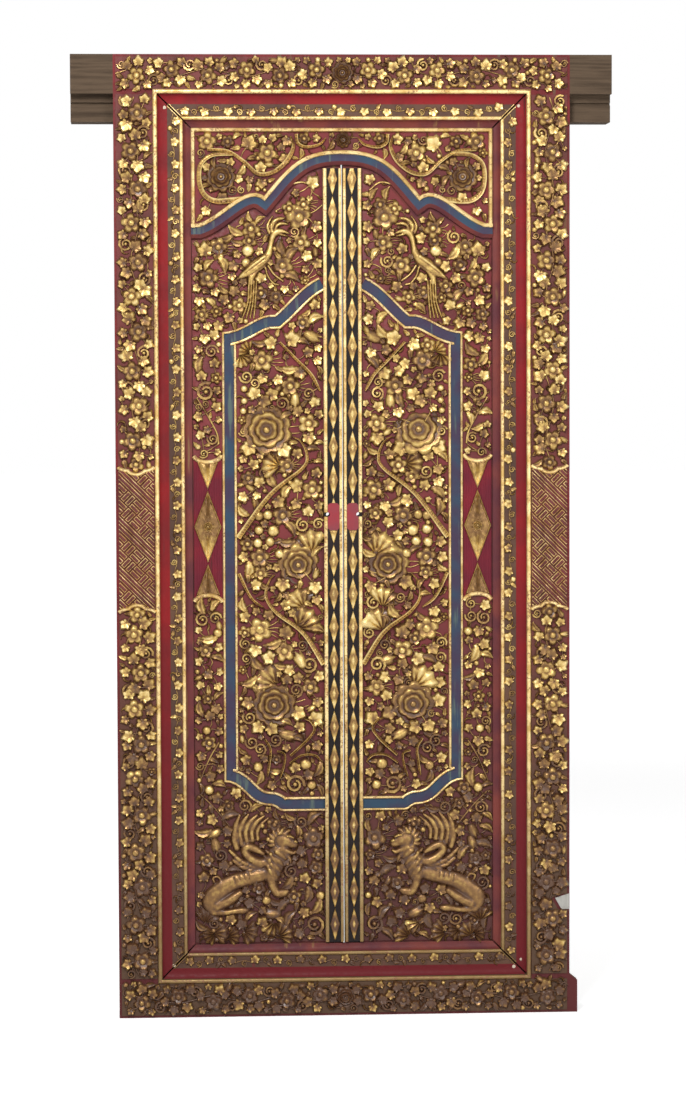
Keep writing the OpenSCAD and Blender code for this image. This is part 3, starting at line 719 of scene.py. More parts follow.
def new_node(tree: bpy.types.NodeTree, kind: str, **settings: object) -> bpy.types.Node:
    """Adds a node to a tree.

    Args:
        tree: Tree of geometry or shader nodes.
        kind: Type of the node.
        settings: Properties of the node by name.

    Returns:
        The node.
    """
    node = tree.nodes.new(kind)
    for key, value in settings.items():
        setattr(node, key, value)
    return node


class NodeTree:
    """Geometry Nodes tree with named inputs, applied to one object at a time."""

    def __init__(self, name: str, inputs: Sequence[tuple[str, str]]) -> None:
        """Makes an empty tree.

        Args:
            name: Name of the tree.
            inputs: Name and socket type of each input after the geometry.
        """
        self.tree = bpy.data.node_groups.new(name, "GeometryNodeTree")
        face = self.tree.interface
        face.new_socket("Geometry", in_out="INPUT", socket_type="NodeSocketGeometry")
        self.keys = {
            label: face.new_socket(label, in_out="INPUT", socket_type=kind).identifier
            for label, kind in inputs
        }
        face.new_socket("Geometry", in_out="OUTPUT", socket_type="NodeSocketGeometry")
        self.source = self.add("NodeGroupInput")
        self.result = self.add("NodeGroupOutput")

    def add(self, kind: str, **settings: object) -> bpy.types.Node:
        """Adds a node with the given settings."""
        return new_node(self.tree, kind, **settings)

    def link(self, a: bpy.types.NodeSocket, b: bpy.types.NodeSocket) -> None:
        """Joins two sockets."""
        self.tree.links.new(a, b)

    def attribute(self, name: str, kind: str) -> bpy.types.NodeSocket:
        """Output that reads a named attribute.

        Args:
            name: Name of the attribute.
            kind: Data type of the attribute.

        Returns:
            The socket that gives its value.
        """
        node = self.add("GeometryNodeInputNamedAttribute", data_type=kind)
        node.inputs["Name"].default_value = name
        return node.outputs["Attribute"]

    def finish_with(self, geometry: bpy.types.NodeSocket) -> None:
        """Ends the tree in Realize Instances and Set Material.

        Args:
            geometry: Socket that gives the instances.
        """
        realize = self.add("GeometryNodeRealizeInstances")
        paint = self.add("GeometryNodeSetMaterial")
        self.link(geometry, realize.inputs["Geometry"])
        self.link(realize.outputs[0], paint.inputs["Geometry"])
        self.link(self.source.outputs["Finish"], paint.inputs["Material"])
        self.link(paint.outputs[0], self.result.inputs[0])

    def made_from(self, data: bpy.types.ID, **values: object) -> bpy.types.Mesh:
        """The plain mesh that the tree makes from a mesh or curve.

        Args:
            data: Mesh or curve that goes in.
            values: Input values by name, with _ for a space.

        Returns:
            The resulting mesh.
        """
        carrier = added("carrier", data)
        modifier = carrier.modifiers.new("nodes", "NODES")
        modifier.node_group = self.tree
        for label, value in values.items():
            modifier[self.keys[label.replace("_", " ")]] = value
        graph = bpy.context.evaluated_depsgraph_get()
        mesh = bpy.data.meshes.new_from_object(carrier.evaluated_get(graph), depsgraph=graph)
        carrier.modifiers.remove(modifier)
        bpy.data.objects.remove(carrier)
        return mesh


class MotifTree(NodeTree):
    """Sets a template on each point, with the point's own kind, turn and size."""

    def __init__(self) -> None:
        """Builds the tree."""
        inputs = [("Motifs", "NodeSocketCollection"), ("Finish", "NodeSocketMaterial")]
        super().__init__("carved_motifs", inputs)
        pick = self.add("GeometryNodeCollectionInfo")
        pick.inputs["Separate Children"].default_value = True
        pick.inputs["Reset Children"].default_value = True
        put = self.add("GeometryNodeInstanceOnPoints")
        put.inputs["Pick Instance"].default_value = True
        turn = self.add("FunctionNodeEulerToRotation")
        self.link(self.source.outputs["Motifs"], pick.inputs["Collection"])
        self.link(self.source.outputs["Geometry"], put.inputs["Points"])
        self.link(pick.outputs[0], put.inputs["Instance"])
        self.link(self.attribute("kind", "INT"), put.inputs["Instance Index"])
        self.link(self.attribute("turn", "FLOAT_VECTOR"), turn.inputs[0])
        self.link(turn.outputs[0], put.inputs["Rotation"])
        self.link(self.attribute("size", "FLOAT_VECTOR"), put.inputs["Scale"])
        self.finish_with(put.outputs[0])


class StemTree(NodeTree):
    """Rounds each line of a curve into a stem as thick as its radius says."""

    def __init__(self) -> None:
        """Builds the tree."""
        super().__init__("carved_stems", [("Sides", "NodeSocketInt"), ("Finish", "NodeSocketMaterial")])
        ring = self.add("GeometryNodeCurvePrimitiveCircle")
        ring.inputs["Radius"].default_value = 1.0
        radius = self.add("GeometryNodeInputRadius")
        tube = self.add("GeometryNodeCurveToMesh")
        tube.inputs["Fill Caps"].default_value = True
        smooth = self.add("GeometryNodeSetShadeSmooth")
        self.link(self.source.outputs["Sides"], ring.inputs["Resolution"])
        self.link(self.source.outputs["Geometry"], tube.inputs["Curve"])
        self.link(ring.outputs["Curve"], tube.inputs["Profile Curve"])
        self.link(radius.outputs[0], tube.inputs["Scale"])
        self.link(tube.outputs[0], smooth.inputs["Geometry"])
        self.finish_with(smooth.outputs[0])


# Finishes


class NodeSheet:
    """Shader nodes of one material."""

    def __init__(self, name: str) -> None:
        """Makes a material with a bare principled shader.

        Args:
            name: Name of the material.
        """
        self.material = bpy.data.materials.new(name)
        self.material.use_nodes = True
        self.tree = self.material.node_tree
        self.shader = next(n for n in self.tree.nodes if n.type == "BSDF_PRINCIPLED")
        self.place = self.add("ShaderNodeTexCoord").outputs["Object"]

    def add(self, kind: str, **settings: object) -> bpy.types.Node:
        """Adds a node with the given settings."""
        return new_node(self.tree, kind, **settings)

    def feed(self, value: object, socket: bpy.types.NodeSocket) -> None:
        """Links a socket to another, or sets its value.

        Args:
            value: Socket to link, or a plain value.
            socket: Input that takes it.
        """
        if isinstance(value, bpy.types.NodeSocket):
            self.tree.links.new(value, socket)
        elif isinstance(value, tuple) and len(value) == 3 and socket.type == "RGBA":
            socket.default_value = (*value, 1.0)
        else:
            socket.default_value = value

    def noise(
        self, scale: float, detail: float = 3.0, stretch: Colour = (1, 1, 1)
    ) -> bpy.types.NodeSocket:
        """Noise in the object's own space, stretched along its axes.

        Args:
            scale: Scale of the noise.
            detail: Octaves of detail.
            stretch: Scale along each axis.

        Returns:
            The noise, from 0 to 1.
        """
        mapping = self.add("ShaderNodeMapping")
        mapping.inputs["Scale"].default_value = stretch
        self.feed(self.place, mapping.inputs["Vector"])
        cloud = self.add("ShaderNodeTexNoise")
        cloud.inputs["Scale"].default_value = scale
        cloud.inputs["Detail"].default_value = detail
        self.feed(mapping.outputs[0], cloud.inputs["Vector"])
        return cloud.outputs[0]

    def attribute(self, name: str) -> bpy.types.NodeSocket:
        """Value of a named attribute of the mesh."""
        return self.add("ShaderNodeAttribute", attribute_name=name).outputs["Fac"]

    def span(
        self, value: object, low: float, high: float, to: Point = (0.0, 1.0)
    ) -> bpy.types.NodeSocket:
        """Value mapped from a range onto another, and kept inside it.

        Args:
            value: Value to map.
            low: Start of its range.
            high: End of its range.
            to: New range.

        Returns:
            The mapped value.
        """
        node = self.add("ShaderNodeMapRange", interpolation_type="SMOOTHSTEP")
        for socket, number in zip(node.inputs[1:5], (low, high, *to)):
            socket.default_value = number
        self.feed(value, node.inputs[0])
        return node.outputs[0]

    def sum(self, a: object, b: object, operation: str = "ADD") -> bpy.types.NodeSocket:
        """Two values put together by an operation.

        Args:
            a: First value.
            b: Second value.
            operation: Operation of the math node.

        Returns:
            The result.
        """
        node = self.add("ShaderNodeMath", operation=operation)
        self.feed(a, node.inputs[0])
        self.feed(b, node.inputs[1])
        return node.outputs[0]

    def mix(self, share: object, a: object, b: object) -> bpy.types.NodeSocket:
        """Two colours mixed by a share of the second.

        Args:
            share: Share of the second colour.
            a: First colour.
            b: Second colour.

        Returns:
            The mixed colour.
        """
        node = self.add("ShaderNodeMix", data_type="RGBA")
        self.feed(share, node.inputs[0])
        self.feed(a, node.inputs[6])
        self.feed(b, node.inputs[7])
        return node.outputs[2]

    def ramp(
        self, value: bpy.types.NodeSocket, stops: Sequence[tuple[float, Colour]]
    ) -> bpy.types.NodeSocket:
        """Colour read from a ramp.

        Args:
            value: Place on the ramp.
            stops: Place and colour of each stop.

        Returns:
            The colour.
        """
        node = self.add("ShaderNodeValToRGB")
        marks = node.color_ramp.elements
        while len(marks) < len(stops):
            marks.new(0.5)
        for mark, (place, colour) in zip(marks, stops):
            mark.position = place
            mark.color = (*colour, 1.0)
        self.feed(value, node.inputs[0])
        return node.outputs[0]

    def axis(self, letter: str) -> bpy.types.NodeSocket:
        """One coordinate of the object's own space.

        Args:
            letter: X, Y or Z.

        Returns:
            The coordinate in metres.
        """
        node = self.add("ShaderNodeSeparateXYZ")
        self.feed(self.place, node.inputs[0])
        return node.outputs[letter]

    def set(self, name: str, value: object) -> None:
        """Feeds an input of the shader."""
        self.feed(value, self.shader.inputs[name])

    def bump(self, height: bpy.types.NodeSocket, depth: float, strength: float = 0.6) -> None:
        """Gives the shader a bump of the given depth in millimetres.

        Args:
            height: Height map.
            depth: Depth in millimetres.
            strength: Strength of the bump.
        """
        node = self.add("ShaderNodeBump")
        node.inputs["Strength"].default_value = strength
        node.inputs["Distance"].default_value = depth * MM
        self.feed(height, node.inputs["Height"])
        self.feed(node.outputs[0], self.shader.inputs["Normal"])


@dataclass(frozen=True)
class GiltFinish:
    """Gold leaf over a dark crimson ground: painted highlight on the ridges, brown patina deepened by painted
    shade in the hollows, and rubbed brown patches.
    """

    name: str
    bright: Colour = (0.72, 0.545, 0.235)
    leaf: Colour = (0.49, 0.325, 0.096)
    brown: Colour = (0.225, 0.12, 0.041)
    dark: Colour = (0.082, 0.034, 0.014)
    metal: float = 0.6
    lift: float = 0.1
    # Heights in metres between which the gilding darkens towards the foot, and by how much: partly painted
    # shade, partly wear.
    clean: float = 0.95
    soiled: float = 0.12
    soil: float = 0.3

    def material(self) -> bpy.types.Material:
        """The finish as a material.

        Returns:
            The material.
        """
        sheet = NodeSheet(self.name)
        depth = sheet.sum(sheet.attribute("depth"), sheet.span(sheet.noise(95, 4), 0.2, 0.8, (-0.13, 0.13)))
        tone = sheet.span(sheet.attribute("tint"), 0, 1, (-0.17 - self.lift, 0.2 - self.lift))
        # Darker towards the foot: partly painted shade where less light falls low on the door, partly wear.
        foot = sheet.span(sheet.axis("Z"), self.clean, self.soiled, (0.0, self.soil))
        depth = sheet.sum(sheet.sum(depth, tone), foot)
        # From ridge to hollow: bright is a painted highlight, leaf is the gilding itself, and brown and dark
        # are patina deepened by painted shade.
        stops = [(0.1, self.bright), (0.34, self.leaf), (0.58, self.brown), (0.84, self.dark)]
        gold = sheet.ramp(depth, stops)
        rubbed = sheet.span(sheet.noise(38, 5), 0.6, 0.76, (0.0, 0.8))
        sheet.set("Base Color", sheet.mix(rubbed, gold, self.brown))
        gilded = sheet.span(depth, 0.95, 0.62)
        sheet.set("Metallic", sheet.sum(gilded, self.metal, "MULTIPLY"))
        sheet.set("Roughness", sheet.span(sheet.noise(240, 2), 0.3, 0.7, (0.3, 0.46)))
        sheet.bump(sheet.noise(420, 3), 0.5, 0.5)
        return sheet.material


@dataclass(frozen=True)
class BeadFinish:
    """Gold leaf on a plain moulding, rubbed through to brown along its run."""

    name: str
    bright: Colour = (0.84, 0.64, 0.3)
    leaf: Colour = (0.54, 0.34, 0.105)
    worn: Colour = (0.2, 0.075, 0.03)
    dull: Colour = (0.17, 0.1, 0.034)
    # Heights in metres between which the beads dull towards the foot, and by how much: partly painted shade,
    # partly wear.
    clean: float = 0.8
    soiled: float = 0.12
    soil: float = 0.9

    def material(self) -> bpy.types.Material:
        """The finish as a material.

        Returns:
            The material.
        """
        sheet = NodeSheet(self.name)
        gold = sheet.ramp(sheet.noise(34, 6), [(0.38, self.leaf), (0.6, self.bright)])
        # Duller towards the foot: partly painted shade where less light falls low on the door, partly wear.
        foot = sheet.span(sheet.axis("Z"), self.clean, self.soiled, (0.0, self.soil))
        gold = sheet.mix(foot, gold, self.dull)
        patch = sheet.span(sheet.noise(7, 3), 0.4, 0.65, (-0.05, 0.05))
        rubbed = sheet.span(sheet.sum(sheet.noise(190, 7), patch), 0.53, 0.66, (0.0, 0.8))
        sheet.set("Base Color", sheet.mix(rubbed, gold, self.worn))
        sheet.set("Metallic", sheet.span(rubbed, 0.0, 0.85, (0.55, 0.1)))
        sheet.set("Roughness", sheet.span(sheet.noise(240, 2), 0.3, 0.7, (0.32, 0.5)))
        sheet.bump(sheet.noise(300, 4), 0.6, 0.6)
        return sheet.material


@dataclass(frozen=True)
class PaintFinish:
    """Old paint with clouding, brush grain and worn patches."""

    name: str
    colour: Colour
    shade: Colour
    worn: Colour
    wear: float = 0.66
    grain: Colour = (1, 1, 0.08)
    rough: float = 0.5
    foot: Colour | None = None

    def material(self) -> bpy.types.Material:
        """The finish as a material.

        Returns:
            The material.
        """
        sheet = NodeSheet(self.name)
        cloud = sheet.span(sheet.noise(14, 5), 0.3, 0.7)
        base = sheet.mix(cloud, self.colour, self.shade)
        if self.foot:
            # The foot colour darkens the paint towards the bottom: partly painted shade where less light
            # falls low on the door, partly wear.
            base = sheet.mix(sheet.span(sheet.axis("Z"), 1.1, 0.3), base, self.foot)
        patch = sheet.span(sheet.noise(9, 3), 0.3, 0.7, (-0.08, 0.08))
        rub = sheet.sum(sheet.noise(60, 6, self.grain), patch)
        sheet.set("Base Color", sheet.mix(sheet.span(rub, self.wear, self.wear + 0.1), base, self.worn))
        polish = (self.rough - 0.08, self.rough + 0.12)
        sheet.set("Roughness", sheet.span(sheet.noise(120, 3), 0.3, 0.7, polish))
        sheet.set("Specular IOR Level", 0.18)
        sheet.bump(sheet.noise(150, 5, self.grain), 0.6, 0.5)
        return sheet.material


@dataclass(frozen=True)
class TimberFinish:
    """Bare weathered timber with grain along one axis."""

    name: str
    light: Colour
    dark: Colour
    grain: Colour

    def material(self) -> bpy.types.Material:
        """The finish as a material.

        Returns:
            The material.
        """
        sheet = NodeSheet(self.name)
        fibre = sheet.noise(70, 8, self.grain)
        cloud = sheet.noise(6, 4)
        tone = sheet.sum(sheet.sum(fibre, 0.75, "MULTIPLY"), sheet.sum(cloud, 0.25, "MULTIPLY"))
        sheet.set("Base Color", sheet.ramp(tone, [(0.32, self.dark), (0.52, self.light), (0.7, self.dark)]))
        sheet.set("Roughness", 0.82)
        sheet.set("Specular IOR Level", 0.12)
        sheet.bump(sheet.noise(110, 9, self.grain), 1.6, 0.8)
        return sheet.material


class Finishes:
    """All the materials of the door."""

    def __init__(self) -> None:
        """Makes the materials."""
        self.gilt = GiltFinish("gilt_carving").material()
        self.bead = BeadFinish("gilt_bead").material()
        self.ground = PaintFinish(
            "crimson_ground", (0.185, 0.03, 0.032), (0.11, 0.026, 0.026), (0.1, 0.042, 0.026),
            foot=(0.085, 0.03, 0.026),
        ).material()
        self.umber = PaintFinish(
            "umber_ground", (0.15, 0.036, 0.032), (0.1, 0.032, 0.026), (0.13, 0.066, 0.03),
            foot=(0.09, 0.05, 0.03),
        ).material()
        self.olive = PaintFinish(
            "olive_ground", (0.115, 0.058, 0.036), (0.07, 0.036, 0.025), (0.12, 0.03, 0.026)
        ).material()
        self.margin = PaintFinish(
            "crimson_margin", (0.17, 0.018, 0.02), (0.1, 0.014, 0.014), (0.12, 0.07, 0.045),
            foot=(0.09, 0.018, 0.018),
        ).material()
        self.red = PaintFinish(
            "bright_red_band", (0.23, 0.009, 0.011), (0.15, 0.009, 0.011), (0.09, 0.015, 0.014),
            wear=0.68, foot=(0.12, 0.008, 0.011),
        ).material()
        self.panel = PaintFinish(
            "dull_red_panel", (0.2, 0.016, 0.026), (0.13, 0.014, 0.026), (0.08, 0.02, 0.02)
        ).material()
        self.cove = PaintFinish(
            "plum_cove", (0.17, 0.038, 0.03), (0.09, 0.022, 0.028), (0.2, 0.1, 0.045), wear=0.64
        ).material()
        self.blue = PaintFinish(
            "blue_band", (0.028, 0.058, 0.095), (0.048, 0.03, 0.06), (0.09, 0.12, 0.11), wear=0.6
        ).material()
        self.black = PaintFinish(
            "black_lacquer", (0.005, 0.0035, 0.004), (0.014, 0.008, 0.008), (0.06, 0.03, 0.018), wear=0.75
        ).material()
        self.blank = PaintFinish(
            "red_blank", (0.3, 0.035, 0.045), (0.2, 0.05, 0.06), (0.3, 0.15, 0.12), wear=0.74
        ).material()
        self.beam = TimberFinish(
            "raw_beam", (0.1, 0.068, 0.044), (0.035, 0.023, 0.015), (0.05, 1, 1)
        ).material()
        self.post = TimberFinish(
            "raw_post", (0.18, 0.125, 0.08), (0.07, 0.045, 0.03), (1, 1, 0.05)
        ).material()
        self.broken = TimberFinish(
            "broken_wood", (0.42, 0.41, 0.38), (0.29, 0.28, 0.255), (1, 1, 0.15)
        ).material()
        self.filler = PaintFinish(
            "pale_filler", (0.66, 0.58, 0.46), (0.5, 0.42, 0.32), (0.3, 0.22, 0.16)
        ).material()


# Carved fields


def nearest(
    x: np.ndarray, z: np.ndarray, start: Sequence[float], end: Sequence[float]
) -> tuple[np.ndarray, np.ndarray]:
    """Where a straight line comes nearest to points.

    Args:
        x: X of the points.
        z: Z of the points.
        start: One end of the line.
        end: The other end.

    Returns:
        The nearest places as shares of the line's length, and the distances from them.
    """
    (x0, z0), (x1, z1) = start, end
    ex, ez = x1 - x0, z1 - z0
    t = np.clip(((x - x0) * ex + (z - z0) * ez) / (ex * ex + ez * ez + TINY), 0, 1)
    return t, np.hypot(x - x0 - t * ex, z - z0 - t * ez)


def signed_distance(x: np.ndarray, z: np.ndarray, outline: np.ndarray) -> np.ndarray:
    """Distance of points from an outline, positive inside it.

    Args:
        x: X of the points.
        z: Z of the points.
        outline: Corners of a closed outline.

    Returns:
        The distances.
    """
    best = np.full(x.shape, np.inf)
    inside = np.zeros(x.shape, bool)
    for (x0, z0), (x1, z1) in zip(outline, np.roll(outline, -1, axis=0)):
        best = np.minimum(best, nearest(x, z, (x0, z0), (x1, z1))[1])
        if z0 != z1:
            inside ^= ((z0 > z) != (z1 > z)) & (x < (x1 - x0) * (z - z0) / (z1 - z0) + x0)
    return np.where(inside, best, -best)


@dataclass
class Carver:
    """Tools that every carved field shares."""

    motifs: MotifLibrary
    motif_tree: MotifTree
    stem_tree: StemTree
    finish: bpy.types.Material


FILLERS: tuple[tuple[float, tuple[tuple[Motif, float], ...]], ...] = (
    (14.5, ((Motif.FLOWER, 0.12), (Motif.TREFOIL, 0.5), (Motif.ACANTHUS, 0.3), (Motif.CURL, 0.08))),
    (11.0, ((Motif.FLOWER, 0.1), (Motif.TREFOIL, 0.5), (Motif.ACANTHUS, 0.33), (Motif.CURL, 0.07))),
    (8.0, ((Motif.LEAF, 0.35), (Motif.TREFOIL, 0.3), (Motif.CURL, 0.05), (Motif.COMMA, 0.2),
           (Motif.BUD, 0.1))),
    (5.4, ((Motif.LEAF, 0.45), (Motif.COMMA, 0.4), (Motif.BERRY, 0.15))),
)
TONES: dict[Motif, tuple[float, float]] = {
    Motif.ROSETTE: (0.8, 1.0), Motif.FLOWER: (0.3, 0.95), Motif.LEAF: (0.15, 1.0), Motif.ACANTHUS: (0.1, 1.0),
    Motif.TREFOIL: (0.05, 1.0), Motif.CURL: (0.35, 0.95), Motif.BERRY: (0.1, 0.7), Motif.BUD: (0.2, 0.8),
    Motif.FAN: (0.3, 0.85), Motif.COMMA: (0.3, 0.95),
}
STEM_TONE = 0.45
FIGURE_TONE = 0.32
BRANCH_TONE = 0.0
BED_DEPTH = 0.75
ALONG = {Motif.LEAF: 2.3, Motif.ACANTHUS: 2.4, Motif.BUD: 2.2, Motif.FAN: 1.9, Motif.COMMA: 1.9}
TAKEN_REACH = 40.0
STALK_REACH = 45.0
LONGEST_STALK = 42.0
STALKED_RADIUS = 14.0
SPARSE_RADIUS = 7.0


@dataclass
class CarvedField:
    """Field of carving: set motifs and stems, with the room between them filled by smaller ones."""

    name: str
    keep: np.ndarray
    ground: float
    relief: float
    seed: int
    avoid: list[np.ndarray] = field(default_factory=list)
    motifs: list[MotifRow] = field(default_factory=list)
    stems: list[LineRow] = field(default_factory=list)
    figures: list[Shape] = field(default_factory=list)
    blocks: list[tuple[float, float, float]] = field(default_factory=list)
    branches: list[LineRow] = field(default_factory=list)
    bare: float = 0.2
    stalked: bool = False
    swell: float = 1.4
    reach: float = 1.04
    largest: float = 15.0
    smallest: float = 5.0
    cell: float = 2.5
    stem_sides: int = 5

    def _room(self) -> None:
        """Works out how far each place is from the field's edges."""
        low, high = self.keep.min(axis=0), self.keep.max(axis=0)
        xs = np.arange(low[0], high[0] + self.cell, self.cell)
        zs = np.arange(low[1], high[1] + self.cell, self.cell)
        self.x, self.z = np.meshgrid(xs, zs)
        self.room = signed_distance(self.x, self.z, self.keep)
        for outline in self.avoid:
            self.room = np.minimum(self.room, -signed_distance(self.x, self.z, outline))
        self.edge = self.room.copy()

    def _margin(self, x: float, z: float) -> float:
        """Distance of a place from the field's edges.

        Args:
            x: X of the place.
            z: Z of the place.

        Returns:
            The distance, positive inside.
        """
        col = int(np.clip((x - self.x[0, 0]) / self.cell, 0, self.x.shape[1] - 1))
        row = int(np.clip((z - self.z[0, 0]) / self.cell, 0, self.x.shape[0] - 1))
        return float(self.edge[row, col])

    def _inwards(self, x: float, z: float, r: float) -> Point:
        """A place near the given one where a motif of this radius keeps clear of the edges.

        Args:
            x: X wished for.
            z: Z wished for.
            r: Radius of the motif.

        Returns:
            The place.
        """
        best = (self._margin(x, z), x, z)
        for reach in (0.3 * r, 0.6 * r, r):
            if best[0] >= 0.85 * r:
                break
            for q in np.linspace(0, 2 * np.pi, 12, endpoint=False):
                at = (x + reach * math.cos(q), z + reach * math.sin(q))
                best = max(best, (self._margin(*at), *at))
        return best[1], best[2]

    def _take(self, x: float, z: float, r: float) -> None:
        """Marks a round place as taken.

        Args:
            x: X of its middle.
            z: Z of its middle.
            r: Its radius.
        """
        reach = r + TAKEN_REACH
        rows = slice(*np.searchsorted(self.z[:, 0], (z - reach, z + reach)))
        cols = slice(*np.searchsorted(self.x[0], (x - reach, x + reach)))
        near = np.hypot(self.x[rows, cols] - x, self.z[rows, cols] - z) - r
        self.room[rows, cols] = np.minimum(self.room[rows, cols], near)

    def place(self) -> None:
        """Places the set motifs, then the fillers, each on a stalk from its nearest neighbour."""
        rng = np.random.default_rng(self.seed)
        self._room()
        self.lines = [(smooth_path(p), w0, w1) for p, w0, w1 in self.stems]
        self.solids = list(self.figures)
        knots = []
        for points, w0, w1 in self.branches:
            line = smooth_path(points, 5)
            self.solids.append(ridged_branch(line, w0, w1, self.relief))
            for q, w in zip(line, np.linspace(w0, w1, len(line))):
                self._take(q[0], q[1], w + 1.5)
                knots.append((q[0], q[1], w))
        for line, w0, w1 in self.lines:
            for q, w in zip(line, np.linspace(w0, w1, len(line))):
                self._take(q[0], q[1], 0.8 * w)
                knots.append((q[0], q[1], w))
        for block in self.blocks:
            self._take(*block)
        self.rows: list[tuple[Motif, float, float, float, float, float]] = []
        self.hosts = knots or [(*self.keep.mean(axis=0), 1.0)]
        for motif, x, z, r in sorted(self.motifs, key=lambda m: -m[3]):
            x, z = self._inwards(x, z, r)
            self._set(motif, x, z, r, rng, 0.95)
            if self.stalked and motif in (Motif.ROSETTE, Motif.FLOWER) and r >= STALKED_RADIUS:
                self._stalks(x, z, r, knots, rng)
        for r, choice in FILLERS:
            if r > self.largest or r < self.smallest:
                continue
            kinds, odds = zip(*choice)
            while True:
                free = np.flatnonzero(self.room.ravel() >= r)
                if not len(free):
                    break
                k = free[rng.integers(len(free))]
                if r < SPARSE_RADIUS and rng.random() < self.bare:
                    self._take(self.x.ravel()[k], self.z.ravel()[k], r)
                    continue
                motif = kinds[rng.choice(len(kinds), p=odds)]
                self._set(motif, self.x.ravel()[k], self.z.ravel()[k], r, rng, 0.62 + 0.02 * r)

    def _stalks(self, x: float, z: float, r: float, knots: list, rng: np.random.Generator) -> None:
        """Sets a bunch of thin stalks from a flower towards its branch, or downwards.

        Args:
            x: X of the flower.
            z: Z of the flower.
            r: Radius of the flower.
            knots: Places along the branches, with half widths.
            rng: Source of the small differences.
        """
        base = -math.pi / 2 + rng.normal(0, 0.3)
        if knots:
            host = np.array(knots)
            far = np.hypot(host[:, 0] - x, host[:, 1] - z)
            k = int(np.argmin(far))
            if far[k] < 5 * r:
                base = math.atan2(host[k, 1] - z, host[k, 0] - x)
        length = min(1.5 * r, LONGEST_STALK)
        for k in (-1.5, -0.5, 0.5, 1.5):
            turn = base + 0.26 * k
            bow = turn + rng.normal(0, 0.12)
            tip = r + length * rng.uniform(0.8, 1.1)
            steps = ((0.8 * r, turn), (0.9 * r + 0.5 * length, turn), (tip, bow))
            points = [(x + f * math.cos(q), z + f * math.sin(q)) for f, q in steps]
            if min(self._margin(*q) for q in points) > 2:
                self.lines.append((smooth_path(points, 2), 1.5, 1.2))
        out = r + 0.5 * length
        self._take(x + out * math.cos(base), z + out * math.sin(base), 0.42 * length)

    def _set(
        self, motif: Motif, x: float, z: float, r: float, rng: np.random.Generator, rise: float
    ) -> None:
        """Sets one motif, turned away from its nearest neighbour, with a stalk between them.

        Args:
            motif: Kind of motif.
            x: X of its middle.
            z: Z of its middle.
            r: Its radius.
            rng: Source of the small differences.
            rise: Its height as a share of the relief.
        """
        host = np.array(self.hosts)
        gap = np.hypot(host[:, 0] - x, host[:, 1] - z) - host[:, 2]
        px, pz, _ = host[np.argmin(gap)]
        turn = math.atan2(z - pz, x - px) + rng.normal(0, 0.35)
        length = ALONG.get(motif)
        size = self.swell * (length * r if length else r)
        size = min(size, self.reach * max(self._margin(x, z), 4.0) * (length or 1.0))
        back = 0.48 * size if length else 0.0
        at = (x - back * math.cos(turn), z - back * math.sin(turn))
        if gap.min() < STALK_REACH:
            bow = rng.normal(0, 0.16) * math.hypot(x - px, z - pz)
            mid = ((px + at[0]) / 2 - bow * math.sin(turn), (pz + at[1]) / 2 + bow * math.cos(turn))
            self.lines.append((smooth_path([(px, pz), mid, at], 2), 1.5, 1.7))
        self.rows.append((motif, *at, turn, size, rise * (0.85 + 0.3 * rng.random())))
        self.hosts.append((x, z, r))
        self._take(x, z, r)

    def _points(self) -> bpy.types.Mesh:
        """Mesh of loose points that carry each motif's kind, turn and size.

        Returns:
            The mesh, in metres.
        """
        rng = np.random.default_rng(self.seed + 1)
        mesh = bpy.data.meshes.new(self.name)
        mesh.from_pydata([(r[1] * MM, self.ground * MM, r[2] * MM) for r in self.rows], [], [])
        tilt = rng.normal(0, 0.1, len(self.rows))
        turns = [(math.pi / 2 + t, -r[3], 0.0) for r, t in zip(self.rows, tilt)]
        sizes = [(r[4] * MM, r[4] * MM, r[5] * self.relief * MM) for r in self.rows]
        store(mesh, "kind", [int(r[0]) for r in self.rows], "INT")
        store(mesh, "turn", turns, "FLOAT_VECTOR")
        store(mesh, "size", sizes, "FLOAT_VECTOR")
        store(mesh, "tint", [rng.uniform(*TONES[r[0]]) for r in self.rows])
        return mesh

    def _curves(self) -> bpy.types.Curve:
        """Curve that holds every stem as one line.

        Returns:
            The curve, in metres.
        """
        curve = bpy.data.curves.new(self.name, "CURVE")
        curve.dimensions = "3D"
        for line, w0, w1 in self.lines:
            widths = np.linspace(w0, w1, len(line))
            spline = curve.splines.new("POLY")
            spline.points.add(len(line) - 1)
            for point, q, w in zip(spline.points, line, widths):
                lift = min(0.5 * w + 0.12 * self.relief, 0.5 * self.relief)
                point.co = (q[0] * MM, (self.ground - lift) * MM, q[1] * MM, 1.0)
                point.radius = w * MM
        return curve

    def carve(self, carver: Carver) -> bpy.types.Object:
        """Makes the field's carving as one object.

        Args:
            carver: Shared templates, trees and finish.

        Returns:
            The carving, with how deep each point lies among its neighbours as an attribute.
        """
        self.place()
        finish, templates = carver.finish, carver.motifs.collection
        meshes = [
            carver.motif_tree.made_from(self._points(), Motifs=templates, Finish=finish),
            carver.stem_tree.made_from(self._curves(), Sides=self.stem_sides, Finish=finish),
        ]
        parts = [added(self.name, mesh) for mesh in meshes]
        first_stem, first_solid = np.cumsum([len(mesh.vertices) for mesh in meshes])
        first_branch = first_solid + sum(len(figure.verts) for figure in self.figures)
        parts += [solid.to_object(self.name, self.ground, [finish], crease=60) for solid in self.solids]
        with bpy.context.temp_override(active_object=parts[0], selected_editable_objects=parts):
            bpy.ops.object.join()
        piece = parts[0]
        piece.name = self.name
        tint = np.empty(len(piece.data.vertices), np.float32)
        piece.data.attributes["tint"].data.foreach_get("value", tint)
        tint[first_stem:first_solid] = STEM_TONE
        tint[first_solid:first_branch] = FIGURE_TONE
        tint[first_branch:] = BRANCH_TONE
        store(piece.data, "tint", tint)
        self._mark_depth(piece.data)
        return piece

